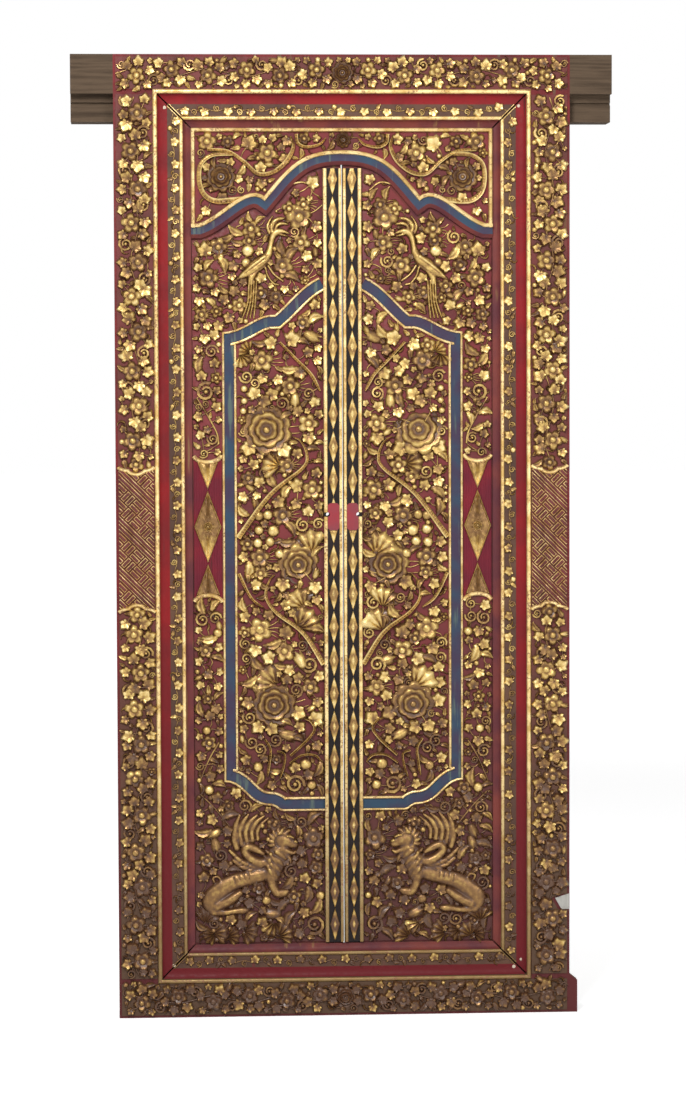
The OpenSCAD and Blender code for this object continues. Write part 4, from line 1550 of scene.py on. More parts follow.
    def _mark_depth(self, mesh: bpy.types.Mesh) -> None:
        """Stores how far each point lies below the carving round it, from 0 on a ridge to 1 in a hollow.

        Args:
            mesh: Mesh of the whole carving.
        """
        pad, border, contrast = 20, 12, 0.95
        windows = ((2, 0.6), (5, 0.4))
        co = np.empty(3 * len(mesh.vertices), np.float32)
        mesh.vertices.foreach_get("co", co)
        x, y, z = co.reshape(-1, 3).T / MM
        h = np.clip(self.ground - y, 0, None)
        low = self.keep.min(axis=0) - pad
        col = ((x - low[0]) / self.cell).astype(int)
        row = ((z - low[1]) / self.cell).astype(int)
        level = np.zeros((row.max() + border, col.max() + border))
        np.maximum.at(level, (row, col), h)
        for axis in (0, 1):
            level = np.maximum(level, np.maximum(np.roll(level, 1, axis), np.roll(level, -1, axis)))
        around = sum(share * box_mean(level, reach)[row, col] for reach, share in windows)
        depth = np.clip(0.5 + (around - h) / (contrast * self.relief), 0, 1)
        # The gilt finish paints low depth as highlight on the ridges and high depth as shade over patina in
        # the hollows.
        store(mesh, "depth", depth)


def box_mean(grid: np.ndarray, reach: int) -> np.ndarray:
    """Mean of a grid over a square window.

    Args:
        grid: Values of the grid.
        reach: Cells on each side of the middle one.

    Returns:
        The means.
    """
    for axis in (0, 1):
        grid = sum(np.roll(grid, s, axis) for s in range(-reach, reach + 1)) / (2 * reach + 1)
    return grid


def sculpted(
    limbs: Sequence[Limb], cell: float = 1.6, grooves: Sequence[tuple[Point, Point]] = ()
) -> Shape:
    """Figure in relief, blended from rounded limbs.

    Args:
        limbs: Each limb's points, as place along, place up, half width and height.
        cell: Size of the mesh's cells.
        grooves: Lines cut into the figure, such as between feathers.

    Returns:
        The figure as a closed solid that stands on the carved ground.
    """
    blend, groove_depth, groove_half, thinnest, rim, bed = 5, 2.2, 1.7, 0.5, 0.3, 1.6
    limbs = [smooth_path(limb, 5) for limb in limbs]
    every = np.vstack(limbs)
    pad = every[:, 2].max() + 3 * cell
    xs = np.arange(every[:, 0].min() - pad, every[:, 0].max() + pad, cell)
    zs = np.arange(every[:, 1].min() - pad, every[:, 1].max() + pad, cell)
    x, z = np.meshgrid(xs, zs)
    total = np.zeros(x.shape)
    for limb in limbs:
        best = np.zeros(x.shape)
        for (x0, z0, r0, h0), (x1, z1, r1, h1) in zip(limb, limb[1:]):
            t, d = nearest(x, z, (x0, z0), (x1, z1))
            d = d / np.maximum(r0 + t * (r1 - r0), 1.0)
            best = np.maximum(best, (h0 + t * (h1 - h0)) * np.sqrt(np.clip(1 - d * d, 0, None)))
        total += best**blend
    height = total ** (1 / blend)
    for start, end in grooves:
        _, d = nearest(x, z, start, end)
        cut = groove_depth * np.exp(-((d / groove_half) ** 2))
        height = np.where(height > 0, np.maximum(height - cut, thinnest), 0)
    full = height > rim
    top = np.where(full, height, -1.0)
    rows, cols = x.shape
    cells = full[:-1, :-1] | full[1:, :-1] | full[:-1, 1:] | full[1:, 1:]
    number = np.arange(rows * cols).reshape(rows, cols)
    quads = np.stack([number[:-1, :-1], number[:-1, 1:], number[1:, 1:], number[1:, :-1]], axis=2)[cells]
    used, flat = np.unique(quads, return_inverse=True)
    quads = flat.reshape(quads.shape)
    points = np.stack([x.ravel()[used], z.ravel()[used], top.ravel()[used]], axis=1)
    edges: dict[tuple[int, int], tuple[int, int]] = {}
    for quad in quads.tolist():
        for a, b in zip(quad, quad[1:] + quad[:1]):
            if edges.pop((b, a), None) is None:
                edges[(a, b)] = (a, b)
    n = len(points)
    under = points * [1, 1, 0] + [0, 0, -bed]
    faces = [tuple(q) for q in quads.tolist()]
    faces += [tuple(n + i for i in q[::-1]) for q in quads.tolist()]
    faces += [(n + a, n + b, b, a) for a, b in edges]
    return Shape(np.vstack([points, under]), faces, [0] * len(faces))


# Timbers copied from the CAD nodes, planed flat behind their carving


def cut_plane(
    book: bmesh.types.BMesh, co: Sequence[float], no: Sequence[float], clear: bool = True
) -> list[bmesh.types.BMEdge]:
    """Cuts a mesh along a plane.

    Args:
        book: The mesh.
        co: Point of the plane, in metres.
        no: Direction towards the side that stays.
        clear: Whether the other side is taken away.

    Returns:
        The edges of the cut.
    """
    whole = [*book.verts, *book.edges, *book.faces]
    cut = bmesh.ops.bisect_plane(book, geom=whole, plane_co=co, plane_no=no, clear_inner=clear)
    return [e for e in cut["geom_cut"] if isinstance(e, bmesh.types.BMEdge)]


def planed_copy(
    node: str, cut: float, finishes: Sequence[bpy.types.Material],
    tone: Callable[[bmesh.types.BMFace, bool], int], splits: Sequence[float] = (),
) -> bpy.types.Object:
    """Copy of a CAD timber, cut flat just behind its carving, with eased edges.

    Args:
        node: Name of the CAD node.
        cut: Y of the new front, in millimetres.
        finishes: Materials of the copy.
        tone: Gives a face's material number, told whether the face is the new front.
        splits: X of lines where a finish may change, in millimetres.

    Returns:
        The copy.
    """
    weld, level, crease, sharp, eased_width = 2e-6, 0.4, 30, 50, 1.2
    book = bmesh.new()
    book.from_mesh(frame["nodes"][node].data)
    bmesh.ops.remove_doubles(book, verts=book.verts, dist=weld)
    rim = cut_plane(book, (0, cut * MM, 0), (0, 1, 0))
    filled = bmesh.ops.triangle_fill(book, edges=rim, use_beauty=True, use_dissolve=False)["geom"]
    fronts = {f for f in filled if isinstance(f, bmesh.types.BMFace)}
    for face in book.faces:
        face.material_index = 1 if face in fronts else 0
    bmesh.ops.dissolve_limit(
        book, angle_limit=math.radians(level), verts=book.verts, edges=book.edges, delimit={"MATERIAL"}
    )
    for x in splits:
        cut_plane(book, (x * MM, 0, 0), (1, 0, 0), False)
    bmesh.ops.recalc_face_normals(book, faces=book.faces)
    for face in book.faces:
        face.material_index = tone(face, face.material_index == 1)
    mesh = bpy.data.meshes.new(f"{node}_timber")
    book.to_mesh(mesh)
    book.free()
    piece = linked(mesh, f"{node}_timber", finishes, crease)
    ease = piece.modifiers.new("eased_edges", "BEVEL")
    ease.width = eased_width * MM
    ease.segments = 2
    ease.limit_method = "ANGLE"
    ease.angle_limit = math.radians(sharp)
    graph = bpy.context.evaluated_depsgraph_get()
    eased = bpy.data.meshes.new_from_object(piece.evaluated_get(graph), depsgraph=graph)
    piece.modifiers.remove(ease)
    piece.data = eased
    return piece


# The frame


@dataclass
class FrameTimbers:
    """Lintel, sill and jambs with their carving, gilded beads and fret panels."""

    half: float = 544.0
    margin: float = 6.0
    front: float = -55.0
    ground: float = -57.0
    face_in: float = 440.0
    head: float = 2211.0
    foot: float = 93.0
    bead: float = 11.0
    bead_gap: float = 3.0
    joint_gap: float = 2.0
    relief: float = 10.5
    fret_mid: float = 1152.0
    fret_half: float = 178.0
    fret_gap: float = 10.0
    fret_dips: tuple[float, float] = (13.0, 19.0)
    fret_band: float = 14.0
    scallop: float = 0.23
    scallop_dip: float = 9.0
    wave: float = 88.0
    wave_start: float = 18.0
    wave_end: float = 4.0
    end_flower: float = 17.0
    largest: float = 11.0
    chip: tuple[Point, ...] = ((524, 251), (543, 251), (543, 290), (508, 279))
    chip_room: tuple[Point, ...] = ((516, 251), (543, 251), (543, 290), (500, 279))

    def build(self, carver: Carver, paint: Finishes) -> None:
        """Builds and dresses the four timbers.

        Args:
            carver: Shared templates, trees and finish.
            paint: Materials of the door.
        """
        self._cross_timber("lintel", 2222.0, 2298.0, 11, carver, paint)
        self._cross_timber("sill", 6.0, 82.0, 12, carver, paint)
        for side in Side:
            self._jamb(side, carver, paint)

    def _bead_profile(self) -> list[Point]:
        """Section of a half-round bead, from its outer edge inwards."""
        return [(0.0, -1.0), *half_round(0.0, 0.4, self.bead / 2), (self.bead, -1.0)]

    def _wave_motifs(self, length: float, width: float, seed: int) -> tuple[list, list]:
        """Running scroll along +X: flowers in turn on both sides of a waving stem.

        Args:
            length: Length of the run.
            width: Width of the field.
            seed: Seed of the small differences between the units.

        Returns:
            The motifs and the stems, centred on the X axis and starting at zero.
        """
        rng = np.random.default_rng(seed)
        count = max(2, round(length / self.wave))
        step = length / count
        motifs, line = [], [(2.0, 0.0)]
        for i in range(count):
            side = 1 if i % 2 == 0 else -1
            x = (i + 0.5) * step + rng.normal(0, 3)
            z = side * 0.09 * width
            motifs.append((Motif.FLOWER, x, z, 0.21 * width))
            for angle in (35, 100, 145, 215, 280, 325):
                q = math.radians(angle + rng.normal(0, 8))
                at = z + 0.37 * width * math.sin(q)
                if abs(at) < 0.37 * width:
                    r = rng.uniform(0.16, 0.2) * width
                    motifs.append((Motif.TREFOIL, x + 0.4 * width * math.cos(q), at, r))
            motifs.append((Motif.CURL, x + 0.5 * step, -side * 0.24 * width, 0.17 * width))
            line.append((x, -side * 0.12 * width))
        line.append((length - 2.0, 0.0))
        return motifs, [(line, 0.022 * width, 0.022 * width)]

    def _cross_outline(self, node: str, low: float, high: float) -> np.ndarray:
        """Outline of a cross timber's carving, which runs up to the jambs outside the bead.

        Args:
            node: Name of the timber.
            low: Lower edge of its carving.
            high: Upper edge of its carving.

        Returns:
            The corners.
        """
        edge, corner = self.half - self.margin, self.face_in + self.bead + self.bead_gap
        outer, inner, joint = (low, high, self.foot - self.joint_gap)
        if node == "lintel":
            outer, inner, joint = (high, low, self.head + self.joint_gap)
        half = [(0.0, outer), (edge, outer), (edge, joint), (corner, joint), (corner, inner), (0.0, inner)]
        return np.array(half[1:-1] + [(-x, z) for x, z in half[-2:0:-1]])

    def _cross_timber(
        self, node: str, low: float, high: float, seed: int, carver: Carver, paint: Finishes
    ) -> None:
        """Dresses the lintel or the sill.

        Args:
            node: Name of the timber.
            low: Lower edge of its carving.
            high: Upper edge of its carving.
            seed: Seed of its carving.
            carver: Shared templates, trees and finish.
            paint: Materials of the door.
        """
        def tone(face: bmesh.types.BMFace, front: bool) -> int:
            """Paint of a face.

            Args:
                face: Face of the planed timber.
                front: Whether it is the planed front.

            Returns:
                The number of the paint.
            """
            if front:
                return 1
            middle = face.calc_center_median()
            painted = node == "sill" or abs(middle.x) < self.half * MM
            return 2 if face.normal.y < -0.5 and painted else 0

        splits = (-self.half, self.half) if node == "lintel" else ()
        finishes = [paint.beam, paint.umber, paint.margin]
        piece = planed_copy(node, self.ground + SKIN, finishes, tone, splits)
        hand_over(piece, "frame", "gilded_frame", node)
        edge = self.half - self.margin
        motifs, stems = [], []
        first, middle = self.wave_start, (low + high) / 2
        run, lines = self._wave_motifs(edge - first - self.margin, high - low, seed)
        run = [(m, first + x, middle + z, r) for m, x, z, r in run]
        lines = [([(first + x, middle + z) for x, z in line], a, b) for line, a, b in lines]
        for side in (-1, 1):
            motifs += motifs_on(side, run)
            stems += lines_on(side, lines)
        motifs.append((Motif.ROSETTE, 0.0, middle, 0.27 * (high - low)))
        carving = CarvedField(
            f"{node}_carving", self._cross_outline(node, low, high), self.ground, self.relief, seed,
            motifs=motifs, stems=stems, largest=self.largest,
        )
        hand_over(carving.carve(carver), "frame", "gilded_frame", node)
        z = self.head if node == "lintel" else self.foot
        lift = 1 if node == "lintel" else -1
        left, right = (-self.face_in, z), (self.face_in, z)
        start, end = (right, left) if lift > 0 else (left, right)
        across = ((math.copysign(1, start[0]), lift), (math.copysign(1, end[0]), lift))
        profile = self._bead_profile()
        bar = worked_bar(start, end, across, profile, [0] * len(profile), seed)
        hand_over(bar.to_object(f"{node}_bead", self.front, [paint.bead]), "frame", "gilded_frame", node)

    def _fret(self, x0: float, x1: float, turn: float) -> Shape:
        """Fret panel: long slanted pairs of bars, with short pairs crossed between them.

        Args:
            x0: Inner edge of the panel.
            x1: Outer edge of the panel.
            turn: Slant of the long bars in degrees.

        Returns:
            The bars, not yet trimmed to the panel.
        """
        size, bar, reach, every = 28.0, 9.6, 12, 3
        low, high = self.fret_mid - self.fret_half, self.fret_mid + self.fret_half
        middle = np.array([(x0 + x1) / 2, self.fret_mid])
        bars = []
        for j in range(-reach, reach + 1):
            for off in (-size / 4, size / 4):
                if j % every == 0:
                    bars.append((0.0, j * size + off, 2 * self.fret_half, bar / 2))
                    continue
                for i in range(-reach, reach + 1):
                    if (i + j) % 2 == 0:
                        bars.append((i * size, j * size + off, size / 2 - 1.5, bar / 2))
                    else:
                        bars.append((i * size + off, j * size, bar / 2, size / 2 - 1.5))
        shapes = []
        for u, v, du, dv in bars:
            shape = bevelled_bar(u, v, du, dv).moved(*middle, turn=turn)
            near, far = shape.verts.min(axis=0), shape.verts.max(axis=0)
            if far[0] > x0 and near[0] < x1 and far[1] > low and near[1] < high:
                shapes.append(shape)
        return Shape.joined(shapes)

    def _scallop(self, x0: float, x1: float, z: float, way: int) -> np.ndarray:
        """Line of a fret panel's end, which bulges into the panel in the middle.

        Args:
            x0: X where it starts.
            x1: X where it ends.
            z: Height of its ends.
            way: 1 at the panel's head, -1 at its foot.

        Returns:
            The points of the line.
        """
        t = np.linspace(0, 1, 49)
        off = np.abs(t - 0.5)
        shares = (off / self.scallop, np.clip((off - self.scallop) / (0.5 - self.scallop), 0, 1))
        dip = sum(self.scallop_dip * np.clip(1 - share * share, 0, 1) ** 0.7 for share in shares)
        return np.stack([x0 + (x1 - x0) * t, z - way * dip], axis=1)

    def _chip(self, paint: Finishes) -> None:
        """Pale broken wood where a piece of the right jamb's carving is lost.

        Args:
            paint: Materials of the door.
        """
        rng = np.random.default_rng(9)
        corners = np.array(self.chip, float)
        edges = list(zip(corners, np.roll(corners, -1, axis=0)))
        rim = np.vstack([a + (b - a) * t for a, b in edges for t in (0, 0.25, 0.5, 0.75)])
        middle = corners.mean(axis=0)
        rings = [
            np.c_[(rim - middle) * share, rng.uniform(2.0, 2.6, len(rim))] for share in (0.35, 0.7, 0.97)
        ]
        patch = closed_disc(np.array(rings), eye=2.3, bed=0.5).moved(*middle)
        piece = patch.to_object("right_jamb_chip", self.front, [paint.broken], crease=12)
        hand_over(piece, "frame", "gilded_frame", "right_jamb")

    def _jamb(self, side: Side, carver: Carver, paint: Finishes) -> None:
        """Dresses one jamb.

        Args:
            side: Half of the door that it stands on.
            carver: Shared templates, trees and finish.
            paint: Materials of the door.
        """
        node = f"{side.word}_jamb"
        sign = side.value
        piece = planed_copy(
            node, self.ground + SKIN, [paint.post, paint.umber, paint.margin],
            lambda face, front: 1 if front else 2 if face.normal.y < -0.5 else 0,
        )
        hand_over(piece, "frame", "gilded_frame", node)
        x0, x1 = self.face_in + self.bead + 1, self.half - self.margin
        z0, z1 = self.foot + self.bead_gap, self.head - self.bead_gap
        low, high = self.fret_mid - self.fret_half, self.fret_mid + self.fret_half
        motifs, stems = [], []
        middle = (x0 + x1) / 2
        gap = self.fret_gap
        short = gap + self.wave_end
        for start, length, way in ((high + gap, z1 - high - short, 1), (low - gap, low - z0 - short, -1)):
            run, lines = self._wave_motifs(length, x1 - x0, 30 + way + sign)
            motifs += [(m, sign * (middle + z), start + way * x, r) for m, x, z, r in run]
            for line, a, b in lines:
                stems.append(([(sign * (middle + z), start + way * x) for x, z in line], a, b))
        motifs += [(Motif.FLOWER, sign * middle, z, self.end_flower) for z in (low - 2, high + 2)]
        foot, head = self._scallop(x0, x1, low + 4, -1), self._scallop(x0, x1, high - 4, 1)
        avoid = [np.vstack([foot - (0, 4), (head + (0, 4))[::-1]]) * (sign, 1)]
        if side is Side.RIGHT:
            avoid.append(np.array(self.chip_room, float))
            self._chip(paint)
        carving = CarvedField(
            f"{node}_carving", rect(*sorted_box(sign * x0, z0, sign * x1, z1)), self.ground, self.relief,
            50 + sign, avoid=avoid, motifs=motifs, stems=stems, largest=self.largest,
        )
        hand_over(carving.carve(carver), "frame", "gilded_frame", node)
        fret = self._fret(x0 + 1, x1 - 1, -45 * sign).mirrored(side)
        marks = (x0 + 1, middle - self.fret_band, middle + self.fret_band, x1 - 1)
        shallow, deep = self.fret_dips
        bands = []
        for a, b, dip in zip(marks, marks[1:], (shallow, deep, shallow)):
            bands.append(fret.to_object(f"{node}_fret", self.ground, [paint.bead, paint.umber]))
            trim_to(bands[-1], *sorted_box(sign * a, low + dip, sign * b, high - dip))
        hand_over(merged(bands), "frame", "gilded_frame", node)
        profile = [(-4.6, -1), (-4.2, 5), (-1.8, 8), (1.8, 8), (4.2, 5), (4.6, -1)]
        arcs = [sweep(path, offsets(path), profile, [0] * len(profile)) for path in (head, foot)]
        piece = Shape.joined(arcs).mirrored(side).to_object(f"{node}_scallops", self.ground, [paint.bead])
        hand_over(piece, "frame", "gilded_frame", node)
        profile = self._bead_profile()
        bar = worked_bar(
            (self.face_in, self.foot), (self.face_in, self.head), ((1, -1), (1, 1)),
            profile, [0] * len(profile), 60 + sign,
        ).mirrored(side)
        hand_over(bar.to_object(f"{node}_bead", self.front, [paint.bead]), "frame", "gilded_frame", node)


def bevelled_bar(u: float, v: float, du: float, dv: float, rise: float = 6.0, edge: float = 1.4) -> Shape:
    """Bar with gilded edges round a painted top.

    Args:
        u: Place of its middle along X.
        v: Place of its middle along Y.
        du: Half its length along X.
        dv: Half its length along Y.
        rise: Height of its top.
        edge: Width of its slanted edges.

    Returns:
        The bar.
    """
    levels = ((0.0, -1.0), (0.0, rise - edge), (edge, rise))
    rings = [np.c_[rect(u - du + i, v - dv + i, u + du - i, v + dv - i), np.full(4, h)] for i, h in levels]
    faces = [(3, 2, 1, 0), (8, 9, 10, 11)]
    for start in (0, 4):
        for i in range(4):
            j = (i + 1) % 4
            faces.append((start + i, start + j, start + 4 + j, start + 4 + i))
    return Shape(np.vstack(rings), faces, [0, 1] + [0] * 8)


def merged(parts: Sequence[bpy.types.Object]) -> bpy.types.Object:
    """The first of the objects, with the meshes of all of them.

    Args:
        parts: Objects that become one.

    Returns:
        The object that stays.
    """
    book = bmesh.new()
    for part in parts:
        book.from_mesh(part.data)
    book.to_mesh(parts[0].data)
    book.free()
    for part in parts[1:]:
        bpy.data.objects.remove(part)
    return parts[0]


def sorted_box(x0: float, z0: float, x1: float, z1: float) -> Box:
    """The same box with its lower corner first."""
    return min(x0, x1), min(z0, z1), max(x0, x1), max(z0, z1)


def trim_to(piece: bpy.types.Object, x0: float, z0: float, x1: float, z1: float) -> None:
    """Cuts a piece off at the sides of an upright box and closes the cuts.

    Args:
        piece: The piece.
        x0: Lowest X.
        z0: Lowest Z.
        x1: Highest X.
        z1: Highest Z.
    """
    book = bmesh.new()
    book.from_mesh(piece.data)
    sides = (
        ((x0, 0, 0), (1, 0, 0)),
        ((x1, 0, 0), (-1, 0, 0)),
        ((0, 0, z0), (0, 0, 1)),
        ((0, 0, z1), (0, 0, -1)),
    )
    for co, no in sides:
        bmesh.ops.holes_fill(book, edges=cut_plane(book, Vector(co) * MM, no), sides=0)
    bmesh.ops.recalc_face_normals(book, faces=book.faces)
    book.to_mesh(piece.data)
    book.free()


# The mouldings


@dataclass
class Mouldings:
    """Four mitred mouldings with their carved strips, and the filled nails in them."""

    back: float = -25.0
    face_in: float = 440.0
    head: float = 2211.0
    foot: float = 93.0
    width: float = 79.0
    hollow: float = 24.0
    strip: float = 28.0
    bead: float = 9.0
    edge_t: float = 25.0
    strip_t: float = 17.0
    lip_t: float = 6.0
    crack: float = 2.4
    mitre_gap: float = 6.0
    inset: float = 1.0
    relief: float = 5.8
    bud_pitch: float = 27.0
    nails: tuple[Point, ...] = ((-422, 2179), (423, 2184), (-412, 124), (428, 128), (410, 110))

    def _profile(self) -> tuple[list[Point], list[int]]:
        """Section from the frame inwards, with the paint of each side.

        Returns:
            The points of the section, and the paint numbers.
        """
        flat, lip = self.strip_t, self.lip_t
        hollow = bezier([(0, self.edge_t), (6, flat), (14.4, flat), (self.hollow, flat)], 6)
        start = self.hollow + self.strip
        bead = half_round(start, flat, self.bead / 2)
        first = start + self.bead
        cove = bezier([(first, flat), (first + 2.7, 9), (first + 9, lip), (self.width, lip)], 6)
        points = [(0.0, 0.0), *map(tuple, hollow), *bead, *map(tuple, cove), (self.width, 0.0)]
        paint = [1] + [0] * 6 + [1] + [2] * 8 + [1] + [3] * 6 + [1, 1]
        return points, paint

    def build(self, carver: Carver, paint: Finishes) -> None:
        """Builds and dresses the four mouldings and the nails.

        Args:
            carver: Shared templates, trees and finish.
            paint: Materials of the door.
        """
        a, top, foot = self.face_in, self.head, self.foot
        c = self.crack
        runs = {
            "head_moulding": ((-a + c, top), (a - c, top), ((1, -1), (-1, -1))),
            "sill_moulding": ((a - c, foot), (-a + c, foot), ((-1, 1), (1, 1))),
            "left_moulding": ((-a, foot + c), (-a, top - c), ((1, 1), (1, -1))),
            "right_moulding": ((a, top - c), (a, foot + c), ((-1, -1), (-1, 1))),
        }
        profile, tones = self._profile()
        finishes = [paint.red, paint.olive, paint.bead, paint.cove]
        for k, (node, (start, end, across)) in enumerate(runs.items()):
            s, e = np.array(start), np.array(end)
            first, last = np.array(across[0]), np.array(across[1])
            run = (e - s) / np.linalg.norm(e - s)
            bars = [
                worked_bar(start, end, across, profile, tones, 70 + k),
                self._mitre_line(s, first, run),
                self._mitre_line(e, last, -run),
            ]
            piece = Shape.joined(bars).to_object(node + "_bar", self.back, finishes)
            hand_over(piece, "frame", "painted_moulding", node)
            d0, d1 = self.hollow + self.inset, self.hollow + self.strip - self.inset
            s, e = s + self.mitre_gap * run, e - self.mitre_gap * run
            keep = np.array([s + first * d0, s + first * d1, e + last * d1, e + last * d0])
            motifs, stems = self._buds(keep)
            carving = CarvedField(
                node + "_carving", keep, self.back - self.strip_t, self.relief, 80 + k,
                motifs=motifs, stems=stems, largest=8, cell=2.0, reach=1.3,
            )
            hand_over(carving.carve(carver), "frame", "painted_moulding", node)
        self._nails(paint)

    def _mitre_line(self, corner: np.ndarray, across: np.ndarray, run: np.ndarray) -> Shape:
        """Gilded line beside a mitre crack, across the carved strip.

        Args:
            corner: Outer end of the mitre.
            across: Direction of the mitre.
            run: Direction of the moulding.

        Returns:
            The line.
        """
        path = corner + across * np.array([[self.hollow], [self.hollow + self.strip + 1.0]])
        section = [(0, -0.5), (0.2, 2.0), (1.2, 3.2), (2.8, 3.2), (3.8, 2.0), (4.0, -0.5)]
        section = [(d, self.strip_t + h) for d, h in section]
        return sweep(path, np.array([run, run]), section, [2] * len(section))

    def _buds(self, keep: np.ndarray) -> tuple[list, list]:
        """Leaves and curls in turn along the middle of a strip.

        Args:
            keep: Outline of the strip.

        Returns:
            The motifs and the stems.
        """
        start, end = (keep[0] + keep[1]) / 2, (keep[2] + keep[3]) / 2
        length = np.linalg.norm(end - start)
        run = (end - start) / length
        side = np.array([-run[1], run[0]])
        count = round(length / self.bud_pitch)
        motifs = []
        for i in range(count):
            sway = (1, -4, -1, 4)[i % 4]
            at = start + run * (i + 0.5) * length / count + side * sway
            broad = i % 2 == 0
            motifs.append((Motif.TREFOIL if broad else Motif.CURL, at[0], at[1], 13.0 if broad else 6.5))
        line = []
        for i in range(2 * count + 1):
            bow = side * 3 * math.sin(math.pi * i / 2)
            line.append(tuple(start + run * length * i / (2 * count) + bow))
        return motifs, [(line, 1.0, 1.0)]

    def _nails(self, paint: Finishes) -> None:
        """Nails with their heads under pale, uneven filler.

        Args:
            paint: Materials of the door.
        """
        rng = np.random.default_rng(5)
        sides, head_r, shank_r, shank_top = 14, 4.2, 1.8, 14.5
        ring = np.arange(sides) * 2 * np.pi / sides
        circle = [(shank_r * math.cos(q), shank_r * math.sin(q), shank_top) for q in ring]
        shank = closed_disc(np.array([circle]), eye=shank_top, bed=22.0)
        parts = []
        for x, z in self.nails:
            uneven = 1 + rng.normal(0, 0.1, sides)
            rings = np.array([
                [(share * r * math.cos(q), share * r * math.sin(q), h) for q, r in zip(ring, head_r * uneven)]
                for share, h in ((0.5, 18.1), (0.85, 17.9), (1.0, 17.1))
            ])
            cap = closed_disc(rings, eye=18.2, bed=-14.0)
            parts += [cap.moved(x, z), shank.moved(x, z)]
        piece = Shape.joined(parts).to_object("filled_nails", self.back, [paint.filler])
        hand_over(piece, "frame", "nail_filler", "moulding_nails")


# The spandrel


@dataclass
class Spandrel:
    """Arched panel under the head moulding."""

    back: float = -25.0
    half: float = 361.0
    top: float = 2132.0
    spring: float = 1895.0
    rise: float = 174.0
    inset: float = 11.0
    leaf_gap: float = 31.5
    ground_t: float = 8.0
    relief: float = 10.5
    lobe: tuple[Point, ...] = ((0, 1), (0.263, 1), (0.332, 0.805), (0.512, 0.356))
    wing: tuple[Point, ...] = ((0.512, 0.356), (0.623, 0.586), (0.776, 0.115), (0.945, 0))

    def arch(self) -> np.ndarray:
        """The arch's gilded line, from the left end to the right one.

        Returns:
            The points of the line.
        """
        half = np.vstack([bezier(self.lobe, 14), bezier(self.wing, 12)[1:]])
        right = half * [self.half, self.rise] + [0, self.spring]
        first, last = [-self.half, self.spring], [self.half, self.spring]
        return np.vstack([first, (right * [-1, 1])[::-1], right[1:], last])

    def lowered(self) -> np.ndarray:
        """The arch's line let down to where the carving of the leaves ends."""
        line = self.arch()
        return line + offsets(line) * self.leaf_gap

    def build(self, carver: Carver, paint: Finishes) -> None:
        """Builds and dresses the spandrel.

        Args:
            carver: Shared templates, trees and finish.
            paint: Materials of the door.
        """
        line = self.arch()
        sheet = np.vstack([line, [[self.half, self.top], [-self.half, self.top]]])
        panel = prism(sheet, 0.0, self.ground_t).to_object("spandrel_panel", self.back, [paint.ground])
        hand_over(panel, "frame", "gilded_panel", "spandrel")
        profile = [
            (-10, 1), (-10, 13), (-8.5, 17), (-5, 19), (-1.5, 17.5), (0, 13.2),
            (4, 12.2), (12, 12.2), (16, 12.6), (25, 6), (25, 1),
        ]
        tones = [0] * 5 + [1] * 3 + [2] * 3
        edge = sweep(line, offsets(line), profile, tones)
        edge.verts[:, 0] = np.clip(edge.verts[:, 0], -self.half + 0.4, self.half - 0.4)
        finishes = [paint.bead, paint.blue, paint.cove]
        piece = edge.to_object("spandrel_arch", self.back, finishes, crease=28)
        hand_over(piece, "frame", "gilded_panel", "spandrel")
        bead = [(0.0, 0.5), (0.0, 13.0), (2.0, 17.5), (5.0, 19.0), (8.0, 17.5), (10.0, 12.0), (10.0, 0.5)]
        h, top, spring = self.half - 0.3, self.top - 0.3, self.spring
        bars = [
            worked_bar((-h, top), (h, top), ((1, -1), (-1, -1)), bead, [0] * len(bead), seed=90),
            worked_bar((-h, spring), (-h, top), ((1, 0), (1, -1)), bead, [0] * len(bead), seed=91),
            worked_bar((h, top), (h, spring), ((-1, -1), (-1, 0)), bead, [0] * len(bead), seed=92),
        ]
        piece = Shape.joined(bars).to_object("spandrel_fillets", self.back, [paint.bead])
        hand_over(piece, "frame", "gilded_panel", "spandrel")
        inner = line - offsets(line) * (self.inset + 1)
        edge_x, edge_z = self.half - self.inset, self.top - self.inset
        inner = inner[np.abs(inner[:, 0]) < edge_x]
        corners = [(edge_x, inner[-1][1]), (edge_x, edge_z), (-edge_x, edge_z)]
        keep = np.vstack([[(-edge_x, inner[0][1])], inner, corners])
        motifs, branches = [], []
        for sign in (-1, 1):
            motifs += motifs_on(sign, SPANDREL_MOTIFS)
            branches += lines_on(sign, SPANDREL_BRANCHES)
        motifs.append((Motif.ROSETTE, 0.0, 2098.0, 19.0))
        carving = CarvedField(
            "spandrel_carving", keep, self.back - self.ground_t, self.relief, seed=95,
            motifs=motifs, branches=branches, largest=11,
        )
        hand_over(carving.carve(carver), "frame", "gilded_panel", "spandrel")


def placed(motif: Motif, *places: tuple[float, float, float]) -> list[MotifRow]:
    """Rows of one motif, by distance from the middle of the door, height and radius."""
    return [(motif, *place) for place in places]


def motifs_on(sign: int, rows: Sequence[MotifRow]) -> list[MotifRow]:
    """Motifs as they stand on one half of the door."""
    return [(motif, sign * x, z, r) for motif, x, z, r in rows]


def lines_on(sign: int, rows: Sequence[LineRow]) -> list[LineRow]:
    """Stems or branches as they run on one half of the door."""
    return [([(sign * x, z) for x, z in line], w0, w1) for line, w0, w1 in rows]


